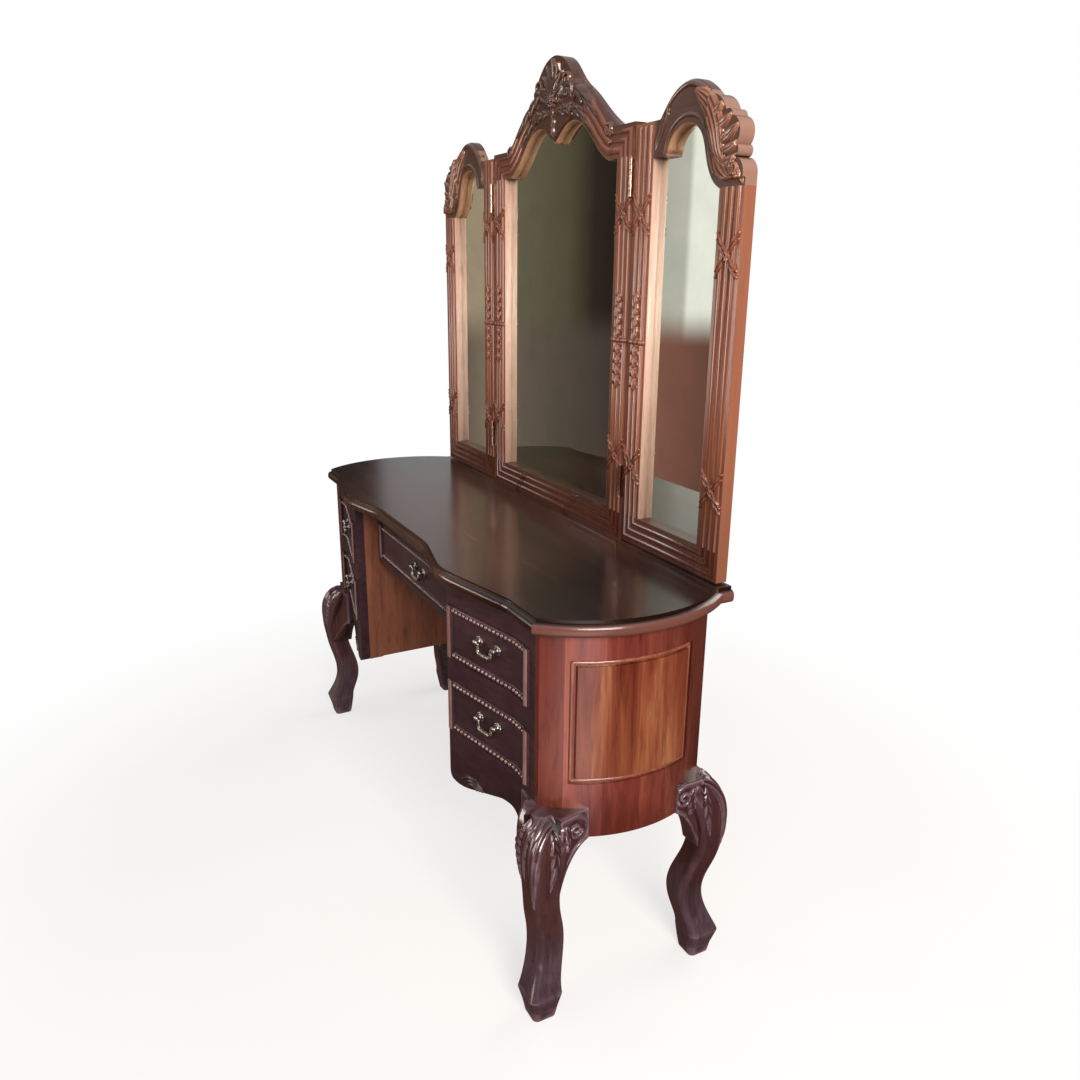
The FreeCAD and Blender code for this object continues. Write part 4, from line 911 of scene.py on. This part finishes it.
def ribbon_heights(mx, mz):
    def heights(x, z):
        layers = []
        for sign in (-1, 1):
            for gap in (-RIBBON_GAP, RIBBON_GAP):
                spine = [(mx + f * RIBBON_OUT, mz + f * sign * RIBBON_UP + gap) for f in (-1, 0, 1)]
                layers.append(leaf(x, z, spine, 2.1, 4.2, "band"))
        return highest(*layers)
    return heights


def husk_heights(mx, mz):
    def heights(x, z):
        layers = [leaf(x, z, [(mx - 24, mz), (mx + 24, mz)], 5, 5, "band")]
        for k in range(HUSKS):
            for way in (-1, 1):
                foot = mz + way * (HUSK_START + HUSK_STEP * k)
                layers.append(leaf(x, z, [(mx, foot), (mx, foot + way * 24)], 7.5, 5.5, vein=2))
                for sign in (-1, 1):
                    layers.append(leaf(x, z, [(mx, foot), (mx + sign * 15, foot + way * 17)], 4.2, 4.5))
        return highest(*layers)
    return heights


CENTRE_RIBBONS = [(STILE_X, 1400), (STILE_X, 935)]
WING_RIBBONS = [(WING_STILE_X, 1395), (WING_STILE_X, 925)]
OUTER_RIBBONS = [(OUTER_X, 1322), (OUTER_X, 926)]
HUSK_Z = 1165
for name, body, node, ribbons, husk_x, more in (
        ("stile_carving", "desk", "mirror_stiles", CENTRE_RIBBONS, STILE_X, []),
        ("wing_stile_carving", "wing_right", "wing_stiles_right", WING_RIBBONS, WING_STILE_X, OUTER_RIBBONS)):
    work = [(spot, ribbon_heights, RIBBON_ROOM) for spot in ribbons]
    work += [((husk_x, HUSK_Z), husk_heights, HUSK_ROOM)]
    work += [(spot, ribbon_heights, RIBBON_ROOM) for spot in more]
    both_sides(name, body, frame_wood, joined(
        relief((mx - STILE_HALF, mz - room), (mx + STILE_HALF, mz + room), 1.3, Ground(node), from_front,
               kind(mx, mz)) for (mx, mz), kind, room in work))

# Bottom rail of the centre mirror: two pairs of slanting ribbons

RAIL_RIBBONS, RAIL_GAP = (-150, 95), 7


def rail_heights(x, z):
    layers = []
    for mx in RAIL_RIBBONS:
        for gap in (-RAIL_GAP, RAIL_GAP):
            spine = [(mx - 22 + gap, 762), (mx + gap, 786), (mx + 22 + gap, 812)]
            layers.append(leaf(x, z, spine, 2.4, 4.2, "band"))
    return highest(*layers)


rail = relief((-185, 761), (130, 813), 1.5, Ground("mirror_bottom_rail"), from_front, rail_heights)
piece("bottom_rail_carving", "desk", rail_wood, mesh_of("bottom_rail_carving", *rail))

# Knees: a fluted leaf sweeps from the end ear over the knee and down, beside it serrated leaves; each end
# ear finishes in a volute

KNEE_LOW, KNEE_TOP, KNEE_HALF, KNEE_RADIUS, EAR_LOW = 238, 403, 62, 38, 306


def knee_heights(a, z):
    main = leaf(a, z, [(44, 397), (20, 392), (5, 374), (0, 336), (2, 246)], 15, 6.5, flutes=3)
    beside = leaf(a, z, [(34, 380), (33, 338), (24, 278)], 8, 4.5, lobes=4, vein=2.4)
    over = leaf(a, z, [(-4, 400), (-18, 386), (-22, 346), (-18, 290)], 9, 5, flutes=1, vein=2)
    front = leaf(a, z, [(-38, 398), (-44, 362), (-38, 322), (-28, 286)], 8, 5, lobes=8, vein=2)
    bud = leaf(a, z, [(53, 390), (48, 368), (43, 345)], 9, 5, flutes=1)
    return highest(main, beside, over, front, bud)


def ear_heights(y, z):
    rim = leaf(y, z, [(-146, 399), (-112, 399), (-92, 388), (-88, 368), (-98, 350), (-116, 334), (-130, 310)],
               6, 5, "taper")
    curl = leaf(y, z, spiral((-112, 374), 14, 4, -30, -1.3), 5, 5.5, "taper")
    buds = [leaf(y, z, [(-134, 388 - 16 * k), (-122 - 2 * k, 362 - 14 * k)], 6.5, 5, vein=2)
            for k in range(3)]
    return highest(rim, curl, *buds)


def rear_ear_heights(y, z):
    return ear_heights(-y, z)


for stem, axis, flip, ear_from, ear_to, heights in (
        ("leg_front", (632, -164), 1, -152, -82, ear_heights),
        ("leg_back", (634, 166), -1, 82, 152, rear_ear_heights)):
    ground = Ground(f"{stem}_right")
    points, faces = relief((-KNEE_HALF, KNEE_LOW), (KNEE_HALF, KNEE_TOP), 1.7, ground,
                           from_round(axis, -45 * flip, KNEE_RADIUS * flip), knee_heights)
    if flip < 0:
        faces = [tuple(reversed(f)) for f in faces]
    ear = relief((ear_from, EAR_LOW), (ear_to, KNEE_TOP), 1.6, ground, from_end, heights)
    both_sides(f"{stem}_carving", "desk", leg_wood, joined([(points, faces), ear]))

# Aprons: a small fan of arcs low on each front

FAN_X, FAN_Z, FAN_INNER, FAN_OUTER, FAN_SLANT, FAN_PITCH, FAN_RISE = 388, 306, 18, 46, 0.35, 8.0, 1.5


def fan_heights(x, z):
    gap = np.hypot(x - FAN_X, (z - FAN_Z) * 1.15)
    turn = np.arctan2(z - FAN_Z, x - FAN_X)
    rings = FAN_RISE + FAN_RISE * np.cos(2 * math.pi * gap / FAN_PITCH)
    inside = (gap > FAN_INNER) & (gap < FAN_OUTER) & (turn > FAN_SLANT) & (turn < math.pi - FAN_SLANT)
    return np.where(inside, rings, BARE)


both_sides("apron_fan", "desk", front_wood,
           relief((340, FAN_Z), (436, 356), 1.3, Ground("front_frame_right"), from_front, fan_heights))

# End panels: a bead runs round the sunk border

PANEL_LOW, PANEL_HIGH, PANEL_ROUND = (-111, 457.5), (109, 678.5), 3
BEAD_HALF, BEAD_RISE, BEAD_STEP, BEAD_RAY = 3.6, 3.2, 5, 800
ring = rounded_box(PANEL_LOW, PANEL_HIGH, PANEL_ROUND, 4)
for side, sign in SIDES:
    ground = Ground(f"end_panel_{side}", f"end_frame_{side}")
    bead = []
    for start, end in zip(ring, np.roll(ring, -1, axis=0)):
        for f in np.linspace(0, 1, max(2, int(abs(end[0] - start[0]) / BEAD_STEP)), endpoint=False):
            y, z = start + (end - start) * f
            spot, _ = ground.hit((sign * BEAD_RAY, y, z), (-sign, 0, 0))
            bead.append(tuple(spot))
    bead.append(bead[0])
    grown_piece(f"end_panel_bead_{side}", "desk", bead_wood, moulding_tree, [bead],
                {"Half Width": BEAD_HALF, "Rise": BEAD_RISE, "Face": (sign, 0, 0)})


# Back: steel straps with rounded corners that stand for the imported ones, their screws, and the pins and
# screws of the back boards

STRAP_X, STRAP_LOW, STRAP_HIGH, STRAP_HALF, STRAP_ROUND, STRAP_THICK = 220, 734, 960, 20, 8, 2.2
BACK_Y, CASE_BACK_Y = 215, 163


def strap(mx):
    rim = rounded_box((mx - STRAP_HALF, STRAP_LOW), (mx + STRAP_HALF, STRAP_HIGH), STRAP_ROUND, 6)
    count = len(rim)
    faces = [tuple(range(count)), tuple(range(2 * count - 1, count - 1, -1))]
    for k in range(count):
        n = (k + 1) % count
        faces.append((n, k, count + k, count + n))
    return on_face(rim, BACK_Y) + on_face(rim, BACK_Y + STRAP_THICK), faces


plates = piece("mirror_strap_plates", "desk", strap_metal,
               mesh_of("mirror_strap_plates", *joined([strap(-STRAP_X), strap(STRAP_X)])), ("mirror_straps",))
plates.data.polygons.foreach_set("use_smooth", [False] * len(plates.data.polygons))

STRAP_SCREWS = ((0, 746), (0, 775), (0, 800), (-9, 870), (9, 900), (-9, 940))
CASE_SCREWS = ((329, 420), (329, 570), (329, 718), (470, 718), (607, 718), (607, 570), (607, 420), (470, 420))
RAIL_SCREWS = ((296, 585), (296, 705))
strap_spots = [(mx + dx, BACK_Y + STRAP_THICK, z) for mx in (-STRAP_X, STRAP_X) for dx, z in STRAP_SCREWS]
case_spots = [(sign * x, CASE_BACK_Y, z) for spots in (CASE_SCREWS, RAIL_SCREWS) for sign in (-1, 1)
              for x, z in spots]
centre_pins = [*np.linspace((-247, 850), (-247, 1490), 8), *np.linspace((247, 850), (247, 1490), 8)]
wing_pins = [*np.linspace((362, 850), (362, 1480), 8), *np.linspace((559, 850), (559, 1410), 7),
             *np.linspace((380, 817), (540, 817), 3)]
PIN = {"Head Radius": 2.6, "Head Rise": 0.9, "Slot Width": 0.7}
for name, body, spots, head in (
        ("strap_screws", "desk", strap_spots, {"Head Radius": 4.2, "Head Rise": 0.75, "Slot Width": 1.0}),
        ("case_screws", "desk", case_spots, {"Head Radius": 4.0, "Head Rise": 1.4, "Slot Width": 1.0}),
        ("mirror_board_pins", "desk", on_face(centre_pins, BACK_Y), PIN),
        ("wing_board_pins_right", "wing_right", on_face(wing_pins, BACK_Y), PIN),
        ("wing_board_pins_left", "wing_left", [(-x, BACK_Y, z) for x, z in wing_pins], PIN)):
    grown_piece(name, body, strap_metal, screw_tree, [[spot] for spot in spots], head)


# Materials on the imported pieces

def dress(material, *names):
    for name in names:
        for slot in nodes[name].material_slots:
            slot.material = material


dress(top_wood, "desk_top")
dress(front_wood, "kneehole_frieze", "centre_drawer_front")
dress(inner_wood, "kneehole_rear_rail", "drawer_runners", "centre_drawer_box")
dress(stile_wood, "mirror_stiles")
dress(rail_wood, "mirror_bottom_rail")
dress(crest_wood, "mirror_crest")
dress(mirror_glass, "mirror_glass")
dress(back_wood, "mirror_back_board")
dress(strap_metal, "mirror_straps")
dress(handle_metal, "centre_pull", "centre_bail")
for side, _ in SIDES:
    dress(front_wood, f"front_frame_{side}", f"upper_drawer_front_{side}", f"lower_drawer_front_{side}")
    dress(end_wood, f"end_frame_{side}")
    dress(panel_wood, f"end_panel_{side}")
    dress(leg_wood, f"leg_front_{side}", f"leg_back_{side}")
    dress(kneehole_wood, f"inner_side_{side}")
    dress(back_wood, f"pedestal_back_{side}", f"wing_back_board_{side}")
    dress(inner_wood, f"pedestal_bottom_{side}", f"upper_drawer_box_{side}", f"lower_drawer_box_{side}")
    dress(stile_wood, f"wing_stiles_{side}")
    dress(rail_wood, f"wing_bottom_rail_{side}")
    dress(arch_wood, f"wing_arch_{side}")
    dress(mirror_glass, f"wing_glass_{side}")
    dress(hinge_metal, f"hinge_fixed_{side}", f"hinge_wing_{side}")
    for level in LEVELS:
        dress(handle_metal, f"{level}_{side}_pull", f"{level}_{side}_bail")


# Stage, in metres: pale floor, a soft grey room that only reflections see, lamps and camera

def stage_sheet(name, points, faces, material):
    mesh = bpy.data.meshes.new(name)
    mesh.from_pydata(points, [], faces)
    made = bpy.data.objects.new(name, mesh)
    bpy.context.scene.collection.objects.link(made)
    mesh.materials.append(material)
    return made


# Floor: pale paint that takes the shadow near the desk and passes into plain white away from it.
FLOOR_HALF = 30
floor_paint, tree = fresh("studio_floor_paint")
spot = add(tree, "ShaderNodeTexCoord").outputs["Object"]
spread = add(tree, "ShaderNodeTexNoise", {"Vector": spot, "Scale": 1.5, "Detail": 2.0})
tone = add(tree, "ShaderNodeValToRGB", {"Fac": spread}, [(0.3, "#f6f5f3"), (0.7, "#faf9f7")])
straight = add(tree, "ShaderNodeLightPath").outputs["Is Camera Ray"]
bounce = add(tree, "ShaderNodeMix", {0: straight, 6: linear("#8c8078"), 7: tone}, **MIXED)
matt = add(tree, "ShaderNodeBsdfDiffuse", {"Color": bounce})
white = add(tree, "ShaderNodeEmission", {0: linear("#ffffff"), 1: 1.0})
away = add(tree, "ShaderNodeVectorMath", {0: spot}, operation="LENGTH")
fade = add(tree, "ShaderNodeMapRange", {0: away, 1: 0.5, 2: 1.7, 3: 0.6, 4: 1.0},
           interpolation_type="SMOOTHSTEP")
seen = add(tree, "ShaderNodeMath", {0: straight, 1: fade}, operation="MULTIPLY")
paint = add(tree, "ShaderNodeMixShader", {0: seen, 1: matt, 2: white})
add(tree, "ShaderNodeOutputMaterial", {0: paint})
corners = [(x * FLOOR_HALF, y * FLOOR_HALF, 0) for x, y in ((-1, -1), (1, -1), (1, 1), (-1, 1))]
stage_sheet("studio_floor", corners, [(0, 1, 2, 3)], floor_paint)

# Room: what the glasses and the lacquer look out on. Its colours go by the direction, in degrees round
# the desk, with a pale wall above and a dark one below, and a bright window.
ROOM_TURN = (-165, -135)
WALL_RISE = (0.75, 1.05)
WINDOW_START, WINDOW_END, WINDOW_SILL = (-100, -94), (-74, -68), (0.5, 0.6)
WINDOW_LIGHT = (4.6, 3.9, 3.4, 1.0)
PATCH_START, PATCH_END, PATCH_LIGHT = (-48, -14), (-12, -2), (1.7, 1.55, 1.5, 1.0)
PATCH_NEAR, PATCH_FAR = (1.15, 1.4), (2.6, 3.2)


def stretch(tree, value, start, end, ease="LINEAR"):
    """One within a stretch of a value and nought outside it, with soft ends."""
    begun = add(tree, "ShaderNodeMapRange", {0: value, 1: start[0], 2: start[1]}, interpolation_type=ease)
    left = add(tree, "ShaderNodeMapRange", {0: value, 1: end[0], 2: end[1], 3: 1.0, 4: 0.0})
    return add(tree, "ShaderNodeMath", {0: begun, 1: left}, operation="MULTIPLY")


room_paint, tree = fresh("studio_room_walls")
spot = add(tree, "ShaderNodeTexCoord").outputs["Object"]
where = add(tree, "ShaderNodeSeparateXYZ", {0: spot}).outputs
turned = add(tree, "ShaderNodeMath", {0: where[1], 1: where[0]}, operation="ARCTAN2")
angle = add(tree, "ShaderNodeMath", {0: turned}, operation="DEGREES")
part_way = add(tree, "ShaderNodeMapRange", {0: angle, 1: ROOM_TURN[0], 2: ROOM_TURN[1]})
above = add(tree, "ShaderNodeValToRGB", {"Fac": part_way}, [
    (0.0, "#4a4038"), (0.06, "#a8967c"), (0.2, "#a8967c"), (0.26, "#6d6552"), (0.42, "#5c5340"),
    (0.5, "#342c26"), (0.6, "#241e1b"), (0.66, "#b9b8ac"), (0.775, "#c9c6b8"), (0.79, "#fffdf0"),
    (0.93, "#fffdf0"), (1.0, "#3a312c")])
below = add(tree, "ShaderNodeValToRGB", {"Fac": part_way}, [
    (0.0, "#3a302b"), (0.2, "#8d7c6a"), (0.28, "#6c5e52"), (0.42, "#5a4e45"), (0.6, "#453a34"),
    (0.7, "#8d5f50"), (1.0, "#5a3a32")])
rise = add(tree, "ShaderNodeMapRange", {0: where[2], 1: WALL_RISE[0], 2: WALL_RISE[1]},
           interpolation_type="SMOOTHSTEP")
walls = add(tree, "ShaderNodeMix", {0: rise, 6: below, 7: above}, **MIXED)
pane = stretch(tree, angle, WINDOW_START, WINDOW_END)
sill = add(tree, "ShaderNodeMapRange", {0: where[2], 1: WINDOW_SILL[0], 2: WINDOW_SILL[1]})
window = add(tree, "ShaderNodeMath", {0: pane, 1: sill}, operation="MULTIPLY")
glow = add(tree, "ShaderNodeMix", {0: window, 6: walls, 7: WINDOW_LIGHT}, **MIXED)
# On the floor a sunlit patch lies to the right, which the lacquer of the bowed end shows as a sheen.
reach = add(tree, "ShaderNodeVectorMath", {0: spot}, operation="LENGTH")
beside = stretch(tree, angle, PATCH_START, PATCH_END, "SMOOTHSTEP")
outward = stretch(tree, reach, PATCH_NEAR, PATCH_FAR)
patch = add(tree, "ShaderNodeMath", {0: beside, 1: outward}, operation="MULTIPLY")
lit = add(tree, "ShaderNodeMix", {0: patch, 6: glow, 7: PATCH_LIGHT}, **MIXED)
shine = add(tree, "ShaderNodeEmission", {0: lit, 1: 1.0})
add(tree, "ShaderNodeOutputMaterial", {0: shine})
# It stands round the desk but for the back, as a floor that curves up into a wall, in steps of ten degrees.
ROOM_FROM, ROOM_STEP, ROOM_STEPS = 165, 10, 30
ROOM_PROFILE = ((0.0, 0.004), (4.4, 0.004), (4.6, 0.2), (4.6, 3.4))
spots = []
for k in range(ROOM_STEPS + 1):
    t = math.radians(ROOM_FROM + ROOM_STEP * k)
    spots += [(r * math.cos(t), r * math.sin(t), z) for r, z in ROOM_PROFILE]
starts = [4 * k + i for k in range(ROOM_STEPS) for i in range(3)]
quads = [(s, s + 1, s + 5, s + 4) for s in starts]
room = stage_sheet("studio_room", spots, quads, room_paint)
for ray in ("camera", "diffuse", "shadow", "transmission", "volume_scatter"):
    setattr(room, f"visible_{ray}", False)

# Sky: white to the eye, dimmer as a light and in reflections.
SKY_LIGHT, SKY_SHEEN = 0.33, 0.5
world = bpy.data.worlds.new("studio")
bpy.context.scene.world = world
world.use_nodes = True
tree = world.node_tree
tree.nodes.clear()
path = add(tree, "ShaderNodeLightPath").outputs
straight = add(tree, "ShaderNodeMath", {
    0: path["Is Camera Ray"], 1: path["Is Transmission Ray"]}, operation="MAXIMUM")
sheen = add(tree, "ShaderNodeMapRange", {0: path["Is Glossy Ray"], 3: SKY_LIGHT, 4: SKY_SHEEN})
strength = add(tree, "ShaderNodeMath", {0: straight, 1: sheen}, operation="MAXIMUM")
sky = add(tree, "ShaderNodeBackground", {0: linear("#ffffff"), 1: strength})
add(tree, "ShaderNodeOutputWorld", {0: sky})


def lamp(name, spot, aim, wide, tall, power, code):
    light = bpy.data.lights.new(name, "AREA")
    light.shape = "RECTANGLE"
    light.size = wide
    light.size_y = tall
    light.energy = power
    light.color = linear(code)[:3]
    made = bpy.data.objects.new(name, light)
    bpy.context.scene.collection.objects.link(made)
    way = Vector(aim) - Vector(spot)
    made.matrix_world = Matrix.Translation(spot) @ way.to_track_quat("-Z", "Y").to_matrix().to_4x4()


lamp("key", (3.9, -0.7, 2.3), (0.3, 0, 0.8), 1.8, 1.8, 172, "#fff4ea")
lamp("window", (0.6, -4.4, 2.6), (0, 0, 0.7), 1.4, 1.6, 20, "#fff6ee")
lamp("side", (-2.2, -2.9, 0.9), (-0.3, 0, 0.5), 1.0, 1.0, 24, "#fff3ec")
lamp("behind", (-0.4, 4.0, 2.4), (0, 0, 0.8), 3.0, 2.0, 75, "#fff6ee")

# Camera: where it stands and the ways it holds its right side, its foot and its view
EYE_SPOT = (1.77576, -0.78642, 1.29816)
EYE_RIGHT = Vector((0.469399, 0.882926, 0.0103))
EYE_DOWN = Vector((0.264716, -0.129587, -0.95558))
EYE_AHEAD = Vector((-0.842372, 0.451274, -0.294553))
camera = bpy.data.cameras.new("photo_view")
camera.sensor_width = 36
camera.lens = 29.34
camera.clip_start = 0.02
eye = bpy.data.objects.new("photo_view", camera)
bpy.context.scene.collection.objects.link(eye)
turn = Matrix((EYE_RIGHT, -EYE_DOWN, -EYE_AHEAD)).transposed().to_4x4()
eye.matrix_world = Matrix.Translation(EYE_SPOT) @ turn
bpy.context.scene.camera = eye
bpy.context.scene.view_settings.view_transform = "Standard"
